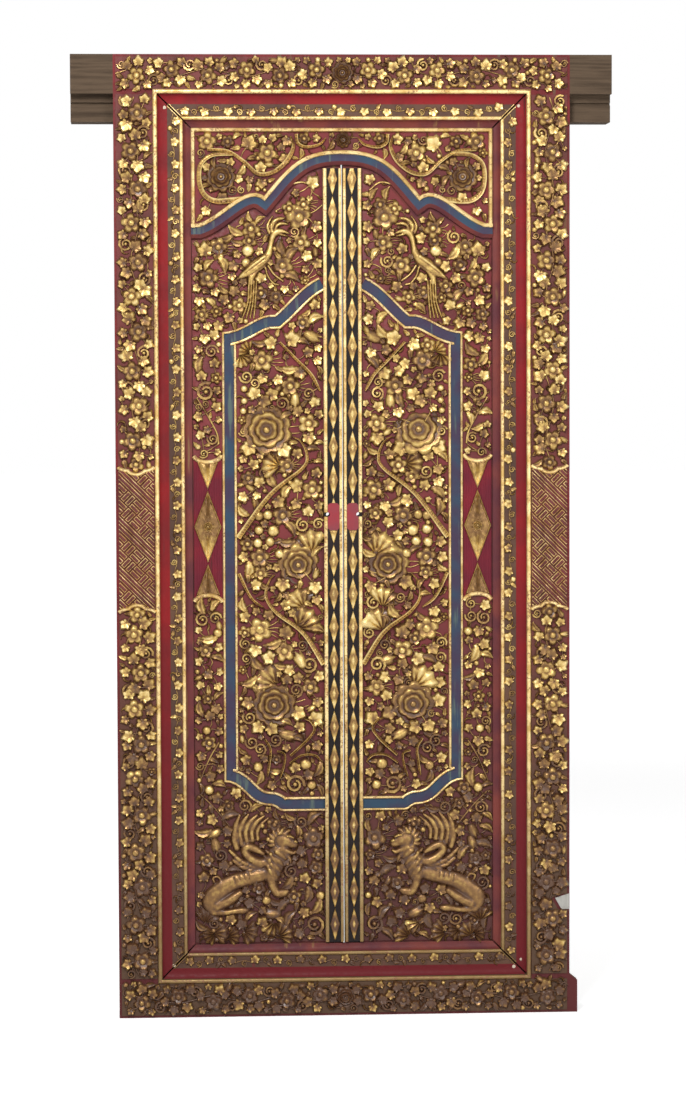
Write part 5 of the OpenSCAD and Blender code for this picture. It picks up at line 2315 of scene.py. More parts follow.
SPANDREL_MOTIFS = [
    *placed(Motif.ROSETTE, (289, 2015, 27)),
    *placed(Motif.FLOWER, (90, 2106, 14), (322, 2099, 20), (273, 2099, 13), (178, 2072, 19)),
    *placed(Motif.TREFOIL, (224, 2089, 20), (195, 2032, 15), (133, 2058, 15), (128, 2104, 15),
            (322, 1938, 17), (289, 1962, 20), (193, 2005, 14)),
    *placed(Motif.ACANTHUS, (242, 2034, 11), (303, 2049, 9), (152, 2044, 9), (327, 1990, 9),
            (262, 1946, 9), (214, 2056, 9)),
    *placed(Motif.CURL, (241, 1984, 10)),
    *placed(Motif.BERRY, (205, 1981, 7)),
]
SPANDREL_BRANCHES = [
    (((261, 2070), (309, 2067), (336, 2046), (341, 2010), (331, 1976), (303, 1958), (250, 1962),
      (222, 1971)), 5.0, 8.0),
    (((321, 2080), (273, 2076), (235, 2052), (202, 2023), (166, 2026), (133, 2052), (116, 2086),
      (122, 2112)), 4.0, 6.5),
    (((109, 2117), (106, 2096), (86, 2086), (54, 2092), (38, 2108)), 4.5, 3.0),
]

OUTER_MOTIFS = [
    *placed(Motif.FLOWER, (102, 1919, 24), (126, 1940, 14), (92, 1950, 14), (218, 1892, 17), (222, 1864, 14),
            (99, 1860, 17), (142, 1805, 19), (296, 1849, 17), (321, 1775, 19), (195, 1739, 14),
            (159, 1730, 14), (90, 1770, 14), (337, 1688, 14), (301, 1696, 12), (303, 1537, 14),
            (327, 767, 12), (279, 508, 12), (168, 460, 14), (58, 385, 17), (74, 426, 22)),
    *placed(Motif.TREFOIL, (63, 2017, 22), (66, 1900, 17), (56, 1861, 14), (58, 1811, 16), (193, 1770, 14),
            (327, 1835, 19), (344, 1796, 12), (344, 1753, 12), (306, 1746, 12), (330, 1636, 14),
            (310, 1636, 14), (342, 1609, 12), (338, 1537, 14), (304, 1504, 12), (306, 1465, 14),
            (348, 1420, 11),
            (339, 1397, 12), (304, 1360, 12), (330, 829, 14), (344, 796, 12), (321, 721, 14), (302, 599, 13),
            (142, 376, 14)),
    *placed(Motif.CURL, (327, 1504, 20), (312, 1391, 12), (334, 1357, 15), (339, 958, 15),
            (308, 962, 13), (72, 217, 22)),
    *placed(Motif.BERRY, (163, 1938, 7), (229, 1811, 10), (226, 1840, 12), (302, 925, 9), (330, 690, 9),
            (325, 546, 10), (188, 277, 10), (58, 287, 11),
            (180, 467, 6), (165, 467, 6), (191, 445, 6), (183, 426, 6), (198, 459, 6)),
    *placed(Motif.BUD, (174, 244, 14), (313, 440, 12), (310, 412, 12)),
    *placed(Motif.FAN, (330, 191, 14), (296, 203, 14), (265, 191, 14), (224, 196, 14), (171, 203, 14),
            (140, 198, 14), (330, 244, 14)),
]
OUTER_STEMS = [
    (((130, 1996), (92, 2003), (66, 1984)), 2.4, 2.4),
    (((349, 1489), (320, 1441), (302, 1405), (298, 1379)), 1.9, 2.9),
    (((301, 661), (325, 620), (349, 563)), 2.9, 1.9),
    (((346, 536), (310, 500), (270, 450)), 2.4, 1.9),
]
INNER_MOTIFS = [
    *placed(Motif.ROSETTE, (183, 1412, 46), (108, 1088, 38), (168, 750, 41)),
    *placed(Motif.FLOWER, (193, 1578, 20), (126, 1516, 19), (134, 1326, 17), (82, 1427, 19), (74, 1268, 19),
            (145, 1206, 19), (201, 1105, 19), (199, 1068, 14), (201, 932, 22), (142, 880, 19), (80, 793, 17)),
    *placed(Motif.TREFOIL, (166, 1619, 17), (190, 1540, 14), (159, 1535, 14), (97, 1552, 17), (60, 1446, 13),
            (82, 1398, 17), (210, 1494, 17), (193, 1484, 17), (174, 1494, 17), (224, 1374, 19),
            (145, 1369, 19), (105, 1278, 17), (60, 1235, 13), (159, 1244, 17), (145, 1048, 19),
            (68, 1040, 17), (234, 1108, 14), (140, 918, 19), (212, 889, 17), (174, 863, 17), (63, 822, 14),
            (63, 762, 16), (224, 757, 17), (116, 733, 19), (202, 702, 17), (178, 697, 17), (231, 618, 14),
            (128, 1628, 20), (72, 712, 20)),
    *placed(Motif.FAN, (234, 1609, 12), (236, 1576, 12), (176, 1334, 17), (105, 1012, 19), (92, 1144, 22),
            (87, 961, 22), (186, 822, 22)),
    *placed(Motif.CURL, (231, 1540, 14), (238, 1408, 12), (82, 1499, 14), (236, 899, 12), (234, 863, 12),
            (99, 894, 12), (82, 848, 17), (202, 644, 14), (118, 558, 20), (222, 661, 14), (60, 1187, 12)),
    *placed(Motif.ACANTHUS, (188, 1040, 10), (158, 1012, 9), (196, 1014, 9), (74, 1364, 11),
            (58, 1334, 9), (104, 952, 9), (206, 1210, 8), (62, 700, 9)),
    *placed(Motif.BERRY, (236, 1511, 7), (236, 1482, 7), (238, 1458, 7), (202, 1206, 10), (181, 1208, 10),
            (202, 1172, 10), (168, 1170, 12), (205, 1141, 10), (176, 1144, 10), (152, 1115, 10),
            (207, 601, 10), (92, 606, 12), (78, 556, 10)),
    *placed(Motif.BUD, (73, 1635, 14), (114, 1482, 12), (105, 858, 14), (136, 676, 14)),
]
INNER_BRANCHES = [
    (((252, 1154), (175, 1257), (97, 1320), (86, 1352), (100, 1384), (120, 1396)), 7.5, 3.2),
    (((48, 848), (97, 924), (161, 973), (186, 1012), (178, 1050), (164, 1066)), 7.0, 3.0),
    (((251, 1068), (222, 1010), (190, 984)), 4.5, 3.0),
    (((150, 1622), (110, 1580), (76, 1545), (54, 1505)), 3.0, 5.0),
    (((129, 628), (102, 652), (83, 671), (70, 692), (80, 711), (96, 717)), 3.5, 3.5),
    (((131, 609), (102, 628), (70, 628), (54, 612)), 2.6, 3.2),
    (((190, 668), (177, 644), (180, 609), (185, 577)), 3.0, 3.6),
    (((161, 639), (143, 631), (145, 604), (155, 572)), 2.6, 3.2),
]


def locks(taper: Sequence[Point], *rows: Sequence[Point]) -> list[Limb]:
    """Tufts that share the half widths and heights of their points."""
    return [[(*place, *section) for place, section in zip(row, taper)] for row in rows]


BIRD: list[Limb] = [
    [(126, 1881, 2, 5), (137, 1885, 4.5, 9), (148, 1887, 7, 12), (158, 1884, 9.5, 13),
     (166, 1874, 8, 12), (171, 1854, 7, 11), (176, 1834, 10, 12), (188, 1818, 14, 14),
     (204, 1806, 17, 14), (227, 1789, 12, 12), (252, 1772, 3, 5)],
    [(128, 1874, 1.6, 4), (139, 1877, 3, 8), (150, 1880, 4, 9)],
    [(168, 1886, 5, 10), (167, 1902, 6.5, 11), (155, 1914, 6, 10), (138, 1918, 2.5, 6)],
    [(160, 1892, 4, 9), (154, 1901, 5, 10), (143, 1905, 4.5, 9), (129, 1903, 2, 5)],
    [(174, 1882, 4, 8), (178, 1898, 4.5, 9), (173, 1912, 3, 6), (166, 1922, 2, 4)],
    [(186, 1826, 6, 16), (214, 1806, 8, 16), (246, 1777, 3, 8)],
    [(205, 1796, 8, 11), (217, 1777, 9, 11), (218, 1764, 7, 9)],
    *([(223 - 6 * i, 1768, 3, 9), (226 - 6 * i, 1719, 3, 8), (239 - 9 * i, 1680, 2.4, 5)] for i in range(4)),
    [(184, 1800, 3.4, 9), (178, 1780, 3, 8), (165, 1763, 3, 7), (152, 1759, 3, 5)],
    [(177, 1804, 3.4, 9), (163, 1784, 3, 8), (142, 1768, 3, 5)],
]
BIRD_GROOVES: list[tuple[Point, Point]] = [
    ((187, 1820), (233, 1786)), ((182, 1808), (218, 1783)), ((199, 1821), (238, 1793)),
    ((163, 1906), (146, 1916)), ((166, 1893), (168, 1906)),
]
LION: list[Limb] = [
    [(317, 252, 12.4, 10), (321, 277, 23.2, 13), (304, 297, 24.4, 14), (273, 319, 21.1, 14),
     (240, 330, 19, 14), (207, 337, 17.8, 14), (182, 345, 14.9, 13)],
    [(306, 264, 13, 15), (286, 274, 13.5, 17.5), (268, 285, 13, 18), (253, 296, 10, 15)],
    [(315, 250, 10.3, 10), (286, 249, 8.4, 11), (263, 252, 8.4, 11), (246, 253, 9.5, 11), (236, 254, 6.5, 8)],
    [(176, 351, 15, 14), (177, 330, 13, 14), (172, 310, 11.5, 13), (162, 295, 11.5, 13),
     (148, 295, 11, 12), (139, 298, 7, 9)],
    [(196, 391, 6.2, 11), (213, 401, 10.3, 13), (232, 408, 10.7, 14), (240, 397, 10.7, 14),
     (228, 381, 12, 15), (207, 369, 13.2, 15), (189, 371, 12.4, 14), (178, 384, 9.1, 13)],
    [(276, 399, 5, 8), (259, 382, 7, 10), (240, 368, 7.4, 11), (215, 358, 6.2, 10), (199, 357, 4.5, 9)],
    [(267, 375, 5.4, 8), (249, 361, 7, 10), (228, 352, 6.6, 10), (202, 351, 4.5, 9)],
    [(259, 405, 8.7, 9), (265, 428, 8.7, 9), (262, 457, 7.4, 8), (252, 484, 3.7, 5)],
    [(247, 415, 8.7, 10), (253, 440, 8.7, 9.5), (245, 465, 7.4, 8.5), (231, 486, 3.7, 5)],
    [(235, 422, 8.7, 11), (238, 444, 8.7, 10), (228, 467, 7.4, 9), (210, 484, 3.5, 5)],
    [(222, 424, 8.3, 11), (223, 446, 8.3, 10), (212, 467, 7, 9), (193, 482, 3.3, 5)],
    [(209, 426, 6.2, 9), (210, 444, 6.6, 9), (201, 461, 5.4, 8), (183, 477, 2.9, 5)],
    [(333, 283, 5, 8), (329, 298, 4.5, 8), (307, 314, 4.1, 8), (299, 327, 3.9, 8), (306, 336, 3.9, 8),
     (317, 333, 3.7, 8), (314, 323, 4.1, 8)],
    [(152, 404, 19, 13), (160, 384, 23, 14), (170, 360, 24, 14), (175, 336, 20, 14)],
    [(150, 424, 21, 14), (143, 424, 20, 15)],
    [(138, 420, 15, 14), (128, 416, 13.5, 14), (121, 413, 11, 12)],
    [(115, 419, 4, 15), (119, 421, 5, 16)],
    [(138, 434, 4, 17), (130, 433, 4.5, 17), (123, 429, 4, 15)],
    [(150, 402, 9, 12), (136, 396, 8, 12), (124, 392, 6, 11), (118, 395, 4, 9)],
    [(140, 388, 7, 10), (132, 378, 6, 10), (130, 368, 4, 7)],
    [(156, 440, 6, 15), (150, 450, 5, 13)],
    *locks(
        ((6.5, 14), (6.5, 12), (4.5, 9)),
        ((157, 402), (161, 395), (166, 392)),
        ((165, 405), (171, 401), (177, 400)),
        ((170, 412), (177, 411), (183, 412)),
        ((172, 420), (179, 422), (184, 425)),
        ((171, 428), (176, 433), (180, 438)),
        ((166, 435), (170, 442), (170, 448)),
        ((159, 440), (160, 447), (158, 453)),
        ((151, 441), (149, 448), (144, 453)),
        ((143, 439), (138, 444), (132, 447)),
    ),
    *locks(((6.5, 14), (6, 12), (4, 9)), *(
        ((x, z), (x + 8, z + 2), (x + 13, z + 7)) for x, z in ((176, 392), (180, 378), (182, 364))
    )),
    *locks(((7.5, 17), (7.5, 16), (4, 11)), *(
        ((164 + 5 * i, 396 - 15 * i), (152 + 6 * i, 388 - 15 * i), (142 + 7 * i, 378 - 15 * i))
        for i in range(4)
    )),
    *locks(((7, 17), (6.5, 17), (4, 14)), *(
        ((178 + 3 * i, 390 - 15 * i), (172 + 4 * i, 379 - 15 * i), (166 + 4 * i, 369 - 15 * i))
        for i in range(3)
    )),
]
LION_GROOVES: list[tuple[Point, Point]] = [
    ((257, 345), (252, 328)), ((245, 347), (240, 330)), ((267, 335), (263, 320)),
    ((232, 344), (229, 330)), ((267, 384), (253, 389)), ((253, 370), (240, 378)),
    ((234, 361), (224, 370)), ((257, 361), (244, 364)), ((240, 351), (228, 355)),
    ((224, 347), (213, 353)), ((253, 411), (257, 448)), ((242, 421), (245, 444)),
    ((228, 426), (231, 446)), ((215, 428), (216, 446)),
]


# The leaves


@dataclass
class DoorLeaf:
    """One leaf: plank, framed field, side panel, carving, and its meeting strip."""

    side: Side
    ground: float = -25.0
    relief: float = 10.5
    field_in: float = 46.0
    field_out: float = 359.0
    bottom: float = 175.0
    lift: float = 172.0
    panel: tuple[float, float] = (997.0, 1355.0)
    panel_in: float = 291.0
    arc: float = 19.0
    arc_points: int = 25
    frame_width: float = 35.5
    gem: tuple[float, float, float] = (66.0, 176.0, 1181.0)
    reeds: int = 11

    def cartouche(self) -> np.ndarray:
        """Outer line of the framed field, from its top at the meeting strip round to its foot.

        Returns:
            The points of the line, for the right leaf.
        """
        runs = (
            ((20, 1616), (88, 1606), (122, 1548), (162, 1516)),
            ((162, 1516), (208, 1520), (234, 1476), (289, 1475)),
            ((289, 393), (238, 393), (238, 334), (173, 334)),
            ((173, 334), (160, 330), (158, 321), (146, 321)),
        )
        line = np.vstack([bezier(r, 10) for r in runs] + [[(self.field_in, 321)]])
        line = line[np.r_[True, np.linalg.norm(np.diff(line, axis=0), axis=1) > 0.5]]
        line = line[line[:, 0] >= self.field_in]
        return line + [0, self.lift]

    def build(self, carver: Carver, paint: Finishes, arch: np.ndarray) -> None:
        """Builds and dresses the leaf.

        Args:
            carver: Shared templates, trees and finish.
            paint: Materials of the door.
            arch: Line under the arch that the carving stays below.
        """
        body, node = f"{self.side.word}_door", f"{self.side.word}_leaf"
        sign = self.side.value
        plank = planed_copy(
            node, self.ground + SKIN, [paint.post, paint.ground, paint.cove],
            lambda face, front: 1 if front else 2 if face.normal.y < -0.3 else 0,
        )
        hand_over(plank, body, "gilded_panel", node)
        line = self.cartouche()
        self._frame_line(line, body, node, paint)
        self._side_panel(body, node, paint)
        right = arch[arch[:, 0] >= 0]
        roof = right[(right[:, 0] > self.field_in) & (right[:, 0] < self.field_out)]
        outline = np.vstack([
            [(self.field_in, self.bottom), (self.field_out, self.bottom), (self.field_out, roof[-1][1])],
            roof[::-1], [(self.field_in, roof[0][1])],
        ])
        inner = line + offsets(line) * self.frame_width
        mirror = np.array([sign, 1])
        drawn = ((BIRD, BIRD_GROOVES), (LION, LION_GROOVES))
        figures = [sculpted(limbs, grooves=cuts).mirrored(self.side) for limbs, cuts in drawn]
        blocks = [(sign * x, z, 0.75 * r) for limb in (*BIRD, *LION) for x, z, r, _ in dense(limb)]
        panel = self._panel_outline(self.panel_in - 6, self.field_out + 4, -5.0)
        cut = np.vstack([line, [(0.0, line[-1][1]), (0.0, line[0][1])]])
        outer = CarvedField(
            f"{node}_outer_carving", outline * mirror, self.ground, self.relief, 100 + sign,
            avoid=[cut * mirror, panel * mirror], figures=figures, blocks=blocks, stalked=True,
            motifs=motifs_on(sign, OUTER_MOTIFS), stems=lines_on(sign, OUTER_STEMS),
        )
        hand_over(outer.carve(carver), body, "gilded_panel", node)
        keep = np.vstack([inner, [(self.field_in, inner[-1][1]), (self.field_in, inner[0][1])]])
        field_inside = CarvedField(
            f"{node}_inner_carving", keep * mirror, self.ground, self.relief, 110 + sign,
            motifs=motifs_on(sign, INNER_MOTIFS), branches=lines_on(sign, INNER_BRANCHES), stalked=True,
        )
        hand_over(field_inside.carve(carver), body, "gilded_panel", node)

    def _frame_line(self, line: np.ndarray, body: str, node: str, paint: Finishes) -> None:
        """Two gilded fillets with a blue band between them, round the framed field.

        Args:
            line: Outer line of the frame.
            body: Body that the piece moves with.
            node: CAD node that the piece stands for.
            paint: Materials of the door.
        """
        profile = [
            (0, -1), (0.3, 5), (1.2, 7.6), (3, 8.6), (4.8, 7.6), (5.8, 5), (6.4, 3.6), (17, 3.0),
            (28, 3.6), (28.6, 5), (29.6, 7.6), (31.6, 8.4), (33.6, 7.4), (34.6, 4.5), (34.9, -1),
        ]
        tones = [0] * 5 + [1] * 4 + [0] * 6
        ring = sweep(line, offsets(line), profile, tones).mirrored(self.side)
        piece = ring.to_object(f"{node}_cartouche", self.ground, [paint.bead, paint.blue], crease=32)
        hand_over(piece, body, "gilded_panel", node)

    def _panel_arc(self, x: np.ndarray) -> np.ndarray:
        """How far the arcs reach into the side panel at the given places across it.

        Args:
            x: Places across the panel.

        Returns:
            The reach of the arcs.
        """
        middle = (self.panel_in + self.field_out) / 2
        half = (self.field_out - self.panel_in) / 2
        return self.arc * np.sqrt(np.clip(1 - ((x - middle) / half) ** 2, 0.02, 1))

    def _panel_outline(self, x0: float, x1: float, inset: float) -> np.ndarray:
        """Outline of the side panel between its two arcs, drawn in by an inset.

        Args:
            x0: Inner edge.
            x1: Outer edge.
            inset: How far the arcs are drawn in.

        Returns:
            The corners.
        """
        x = np.linspace(x0, x1, self.arc_points)
        reach = self._panel_arc(x) + inset
        return np.vstack([np.c_[x, self.panel[0] + reach], np.c_[x, self.panel[1] - reach][::-1]])

    def _side_panel(self, body: str, node: str, paint: Finishes) -> None:
        """Dull red reeded panel with gilded diamonds between two arcs.

        Args:
            body: Body that the piece moves with.
            node: CAD node that the piece stands for.
            paint: Materials of the door.
        """
        x0, x1 = self.panel_in, self.field_out - 1
        plate = self._panel_outline(x0, x1, 0.0)
        parts = [prism(plate, -1.0, 1.2)]
        across = np.array([(1, 0), (1, 0)], float)
        reed = [(-2.6, 0.5), (-1.6, 2.2), (0, 2.8), (1.6, 2.2), (2.6, 0.5)]
        for i in range(self.reeds):
            x = x0 + (i + 0.5) * (x1 - x0) / self.reeds
            reach = float(self._panel_arc(np.array(x)))
            path = np.array([(x, self.panel[0] + reach), (x, self.panel[1] - reach)], float)
            parts.append(sweep(path, across, reed, [0] * len(reed)))
        profile = [(-5, -1), (-4.5, 6), (-2.2, 8.6), (2.2, 8.6), (4.5, 6), (5, -1)]
        for path in (plate[:self.arc_points], plate[self.arc_points:]):
            parts.append(sweep(path, offsets(path), profile, [1] * len(profile)))
        piece = Shape.joined(parts).mirrored(self.side)
        piece = piece.to_object(f"{node}_side_panel", self.ground, [paint.panel, paint.bead], crease=30)
        hand_over(piece, body, "gilded_panel", node)
        wide, tall, middle = self.gem
        x = (x0 + x1) / 2
        diamond = ribbed_diamond(wide, tall - 2, rise=8.0, nt=40)
        shapes = [diamond.moved(x, middle + k * tall) for k in (-1, 0, 1)]
        shapes.append(layered_rosette().moved(x, middle, size=16, rise=11))
        row = Shape.joined(shapes).mirrored(self.side)
        gems = row.to_object(f"{node}_diamonds", self.ground, [paint.gilt], crease=50, relief=15.0)
        self._shade_gems(gems.data, middle, tall)
        low, high = self.panel[0] + self.arc + 1, self.panel[1] - self.arc - 1
        trim_to(gems, *sorted_box(self.side.value * x0, low, self.side.value * x1, high))
        hand_over(gems, body, "gilded_panel", node)

    def _shade_gems(self, mesh: bpy.types.Mesh, middle: float, tall: float) -> None:
        """Leaves the diamonds brown above, and bright at their lower tips, borders and boss; the bright parts
        are partly painted highlight and partly wear.

        Args:
            mesh: Mesh of the diamonds.
            middle: Height of the middle one.
            tall: Height from one to the next.
        """
        _, y, z = np.array([v.co for v in mesh.vertices]).T / MM
        share = ((z - middle) / tall + 0.5) % 1.0
        places, tones = (0.0, 0.12, 0.36, 0.85, 1.0), (0.1, 0.25, 0.7, 0.76, 0.5)
        border, border_tone = 7.4, 0.26
        # Painted highlight, partly wear: the lower tips, raised borders and boss get the bright tones.
        depth = np.interp(share, places, tones)
        depth = np.where(self.ground - y > border, np.minimum(depth, border_tone), depth)
        store(mesh, "depth", depth)


@dataclass
class MeetingStrip:
    """Black strip at a leaf's free edge, with gilded fillets and a row of diamonds."""

    side: Side
    ground: float = -34.8
    inner: tuple[float, float] = (1.7, 9.0)
    outer: tuple[float, float] = (37.2, 45.8)
    hole: Point = (36.5, 1209.0)
    hole_r: float = 4.9
    blank: tuple[float, float] = (1171.0, 1236.0)
    pitch: float = 80.0
    first_up: float = 1291.0
    first_down: float = 1098.0

    def build(self, paint: Finishes) -> None:
        """Builds and dresses the strip.

        Args:
            paint: Materials of the door.
        """
        node, body = f"{self.side.word}_meeting_strip", f"{self.side.word}_door"
        bar = planed_copy(
            node, self.ground, [paint.post, paint.black],
            lambda face, front: 1 if front or face.normal.y < 0.5 else 0,
        )
        hand_over(bar, body, "black_strip", node)
        levels = [v.co.z / MM for v in frame["nodes"][node].data.vertices]
        low, high = min(levels) + 0.5, max(levels) - 0.5
        gap = self.hole_r + 0.4
        runs = [
            (self.inner, low, high),
            (self.outer, low, self.hole[1] - gap),
            (self.outer, self.hole[1] + gap, high),
        ]
        fillets = Shape.joined([self._fillet(*run, 120 + k) for k, run in enumerate(runs)])
        piece = fillets.mirrored(self.side).to_object(f"{node}_fillets", self.ground, [paint.bead])
        hand_over(piece, body, "black_strip", node)
        self._blank_plate(node, body, paint)
        x = (self.inner[1] + self.outer[0]) / 2
        wide = self.outer[0] - self.inner[1] - 4
        places = [
            *np.arange(self.first_up, high, self.pitch), *np.arange(self.first_down, low, -self.pitch),
            self.first_up - self.pitch, self.first_down + self.pitch,
        ]
        boss = berry(nt=9).moved(0, 0, size=3.4, rise=4.0)
        gem = Shape.joined([ribbed_diamond(wide, self.pitch - 1, rise=3.2, nt=20), boss])
        row = Shape.joined([gem.moved(x, z) for z in places]).mirrored(self.side)
        gems = row.to_object(f"{node}_diamonds", self.ground, [paint.gilt], crease=50, relief=6.2)
        self._shade_tips(gems.data, np.array(places))
        upper = gems.copy()
        upper.data = gems.data.copy()
        upper.name = f"{node}_upper_diamonds"
        bpy.context.scene.collection.objects.link(upper)
        across = (self.side.value * self.inner[1], self.side.value * self.outer[0])
        trim_to(gems, *sorted_box(across[0], low, across[1], self.blank[0] - 0.5))
        trim_to(upper, *sorted_box(across[0], self.blank[1] + 0.5, across[1], high))
        hand_over(gems, body, "black_strip", node)
        hand_over(upper, body, "black_strip", node)

    def _shade_tips(self, mesh: bpy.types.Mesh, places: np.ndarray) -> None:
        """Leaves the diamonds brown in their middle and bright at their tips, most of all the lower ones; the
        bright tips and boss are partly painted highlight and partly wear.

        Args:
            mesh: Mesh of the diamonds.
            places: Heights of their middles.
        """
        x, _, z = np.array([v.co for v in mesh.vertices]).T / MM
        off = z - places[np.abs(z[:, None] - places).argmin(axis=1)]
        start, run, upper, boss_r, dark, gain = 0.36, 0.3, 0.85, 4.0, 0.64, 0.56
        tip = np.clip((np.abs(off) * 2 / self.pitch - start) / run, 0, 1) * np.where(off < 0, 1.0, upper)
        middle = (self.inner[1] + self.outer[0]) / 2
        boss = np.hypot(np.abs(x) - middle, off) < boss_r
        # Painted highlight, partly wear: lower depth, so brighter gold, at the tips and the boss.
        depth = dark - gain * np.maximum(tip, boss)
        store(mesh, "depth", depth)

    def _fillet(self, span: tuple[float, float], low: float, high: float, seed: int) -> Shape:
        """Rounded gilded edge of the strip between two heights.

        Args:
            span: Its two edges across the strip.
            low: Its lower end.
            high: Its upper end.
            seed: Seed of its waver.

        Returns:
            The fillet, for the right strip.
        """
        wide = span[1] - span[0]
        profile = [
            (0, -1), (0.1, 2), (0.22 * wide, 3.7), (0.5 * wide, 4.2), (0.78 * wide, 3.7),
            (wide - 0.1, 2), (wide, -1),
        ]
        ends = (span[0], low), (span[0], high)
        return worked_bar(*ends, ((1, 0), (1, 0)), profile, [0] * len(profile), seed)

    def _blank_plate(self, node: str, body: str, paint: Finishes) -> None:
        """Red blank across the strip, notched round the pull hole.

        Args:
            node: CAD node that the piece stands for.
            body: Body that the piece moves with.
            paint: Materials of the door.
        """
        x0, x1 = self.inner[1] + 0.3, self.outer[0] - 0.3
        turn = math.acos((x1 - self.hole[0]) / self.hole_r)
        notch = [
            (self.hole[0] + self.hole_r * math.cos(q), self.hole[1] + self.hole_r * math.sin(q))
            for q in np.linspace(2 * math.pi - turn, turn, 11)
        ]
        low, high = self.blank
        cut = 5.0
        outline = np.array([
            (x0, low + cut), (x0 + cut, low), (x1 - cut, low), (x1, low + cut), *notch,
            (x1, high - cut), (x1 - cut, high), (x0 + cut, high), (x0, high - cut),
        ])
        plate = prism(outline, -0.5, 1.4).mirrored(self.side)
        piece = plate.to_object(f"{node}_blank", self.ground, [paint.blank])
        hand_over(piece, body, "black_strip", node)


def dense(limb: Limb, steps: int = 4) -> list[tuple[float, float, float, float]]:
    """Points along a limb, close enough to block fillers from it.

    Args:
        limb: Points of the limb.
        steps: Steps between two points.

    Returns:
        The denser points.
    """
    rows = []
    for p, q in zip(limb, limb[1:]):
        rows += [tuple(np.array(p) + (np.array(q) - np.array(p)) * i / steps) for i in range(steps)]
    return [*rows, tuple(limb[-1])]


def ribbed_diamond(wide: float, tall: float, rise: float, nt: int) -> Shape:
    """Diamond with ribs that spread from its middle to a raised border.

    Args:
        wide: Width.
        tall: Height on the wall.
        rise: Height of its border.
        nt: Points round it, a multiple of four.

    Returns:
        The diamond, about the origin.
    """
    quarter = np.linspace(0, 1, nt // 4, endpoint=False)
    x = np.concatenate([1 - quarter, -quarter, quarter - 1, quarter]) * wide / 2
    z = np.concatenate([quarter, 1 - quarter, -quarter, quarter - 1]) * tall / 2
    rib = np.where(np.arange(nt) % 2 == 0, 1.0, -1.0)
    rings = []
    levels = (
        (0.12, 0.62, 0), (0.4, 0.72, 0.12), (0.74, 0.62, 0.14),
        (0.88, 0.5, 0.06), (0.94, 1.0, 0), (1, 0.7, 0),
    )
    for share, height, fold in levels:
        rings.append(np.stack([share * x, share * z, rise * (height + fold * rib)], axis=1))
    return closed_disc(np.array(rings), 0.6 * rise, 0.8)


# Small parts and stage


def dress_pegs(paint: Finishes) -> None:
    """Gives the CAD pegs their bare wood.

    Args:
        paint: Materials of the door.
    """
    pegs = frame["nodes"]["frame_pegs"]
    pegs.data.materials.clear()
    pegs.data.materials.append(paint.beam)


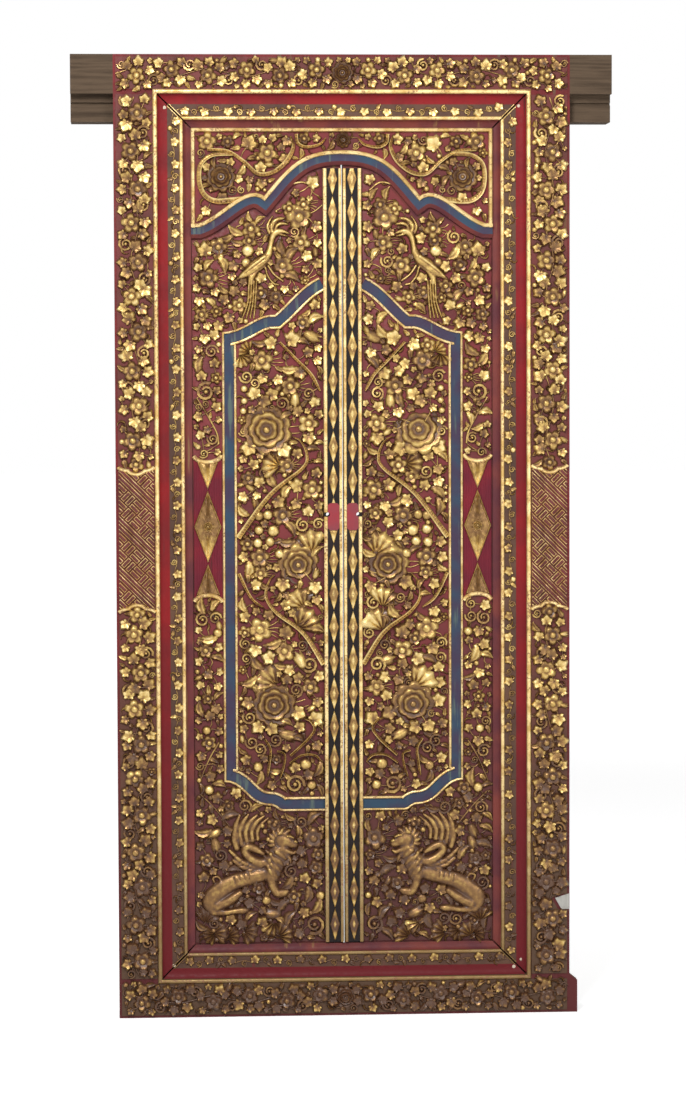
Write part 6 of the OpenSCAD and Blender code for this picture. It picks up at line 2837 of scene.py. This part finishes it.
@dataclass
class Stage:
    """Pale floor, soft studio light and the photograph's camera."""

    image: tuple[int, int] = (686, 1100)
    scale: float = 2.4
    distance: float = 8.0
    pitch: float = 3.2
    yaw: float = 3.3
    roll: float = -0.2
    target: tuple[float, float, float] = (-0.001, -0.04, 1.1237)
    floor_glow: Point = (0.45, 0.68)
    glow_reach: Point = (2.0, 8.0)
    sky: Point = (0.39, 1.0)
    lamp_aim: tuple[float, float, float] = (0.0, 0.0, 1.15)

    def build(self) -> None:
        """Builds the stage."""
        self._floor()
        self._world()
        self._lamp("key", (-1.0, -3.6, 3.7), size=1.0, power=150)
        self._lamp("fill", (2.2, -3.6, 1.9), size=1.6, power=40)
        self._lamp("rim", (0.6, 2.8, 3.2), size=2.0, power=30)
        self._camera()
        bpy.context.scene.view_settings.view_transform = "Standard"

    def _floor(self) -> None:
        """Wide plain floor that keeps the door's shadow."""
        mesh = bpy.data.meshes.new("floor")
        size = 40.0
        corners = [(-size, -size, 0), (size, -size, 0), (size, size, 0), (-size, size, 0)]
        mesh.from_pydata(corners, [], [(0, 1, 2, 3)])
        floor = added("floor", mesh)
        sheet = NodeSheet("pale_floor")
        sheet.set("Base Color", (0.9, 0.9, 0.9))
        sheet.set("Roughness", 0.8)
        sheet.set("Emission Color", (1.0, 1.0, 1.0))
        path = sheet.add("ShaderNodeLightPath")
        seen = sheet.sum(path.outputs["Is Camera Ray"], path.outputs["Is Glossy Ray"], "MAXIMUM")
        seen = sheet.sum(seen, path.outputs["Is Transmission Ray"], "MAXIMUM")
        away = sheet.add("ShaderNodeVectorMath", operation="LENGTH")
        sheet.feed(sheet.place, away.inputs[0])
        glow = sheet.span(away.outputs["Value"], *self.glow_reach, self.floor_glow)
        sheet.set("Emission Strength", sheet.sum(seen, glow, "MULTIPLY"))
        mesh.materials.append(sheet.material)

    def _world(self) -> None:
        """White behind the door, and an even grey light on it."""
        world = bpy.data.worlds.new("studio")
        bpy.context.scene.world = world
        world.use_nodes = True
        tree = world.node_tree
        back = next(n for n in tree.nodes if n.type == "BACKGROUND")
        back.inputs[0].default_value = (1, 1, 1, 1)
        path = new_node(tree, "ShaderNodeLightPath")
        seen = new_node(tree, "ShaderNodeMath", operation="MAXIMUM")
        both = new_node(tree, "ShaderNodeMath", operation="MAXIMUM")
        level = new_node(tree, "ShaderNodeMapRange")
        for socket, value in zip(level.inputs[3:5], self.sky):
            socket.default_value = value
        links = (
            (path.outputs["Is Camera Ray"], seen.inputs[0]),
            (path.outputs["Is Glossy Ray"], seen.inputs[1]),
            (seen.outputs[0], both.inputs[0]),
            (path.outputs["Is Transmission Ray"], both.inputs[1]),
            (both.outputs[0], level.inputs[0]),
            (level.outputs[0], back.inputs[1]),
        )
        for source, socket in links:
            tree.links.new(source, socket)

    def _lamp(self, name: str, place: tuple[float, float, float], size: float, power: float) -> None:
        """Square soft lamp that looks at the door's middle.

        Args:
            name: Name of the lamp.
            place: Its place.
            size: Its width.
            power: Its power in watts.
        """
        data = bpy.data.lights.new(name, "AREA")
        data.size = size
        data.energy = power
        lamp = added(name, data)
        lamp.location = place
        lamp.rotation_euler = (Vector(self.lamp_aim) - Vector(place)).to_track_quat("-Z", "Y").to_euler()

    def _camera(self) -> None:
        """Camera at the photograph's angle."""
        data = bpy.data.cameras.new("camera")
        data.sensor_width = 36.0
        data.lens = data.sensor_width / 2 / (self.image[1] * self.scale * MM / 2 / self.distance)
        camera = added("camera", data)
        p, y = math.radians(self.pitch), math.radians(self.yaw)
        back = Vector((-math.sin(y) * math.cos(p), -math.cos(y) * math.cos(p), math.sin(p)))
        camera.location = Vector(self.target) + back * self.distance
        turn = (-back).to_track_quat("-Z", "Y")
        roll = Matrix.Rotation(math.radians(self.roll), 3, "Z")
        camera.rotation_euler = (turn.to_matrix() @ roll).to_euler()
        bpy.context.scene.camera = camera


def main() -> None:
    """Builds the stage, then the door's parts in order."""
    logging.basicConfig(level=logging.INFO, format="%(message)s")
    Stage().build()
    paint = Finishes()
    library = MotifLibrary()
    carver = Carver(library, MotifTree(), StemTree(), paint.gilt)
    FrameTimbers().build(carver, paint)
    Mouldings().build(carver, paint)
    spandrel = Spandrel()
    spandrel.build(carver, paint)
    arch = spandrel.lowered()
    for side in Side:
        DoorLeaf(side).build(carver, paint, arch)
        MeetingStrip(side).build(paint)
    dress_pegs(paint)
    library.clear()


if __name__ == "__main__":
    main()
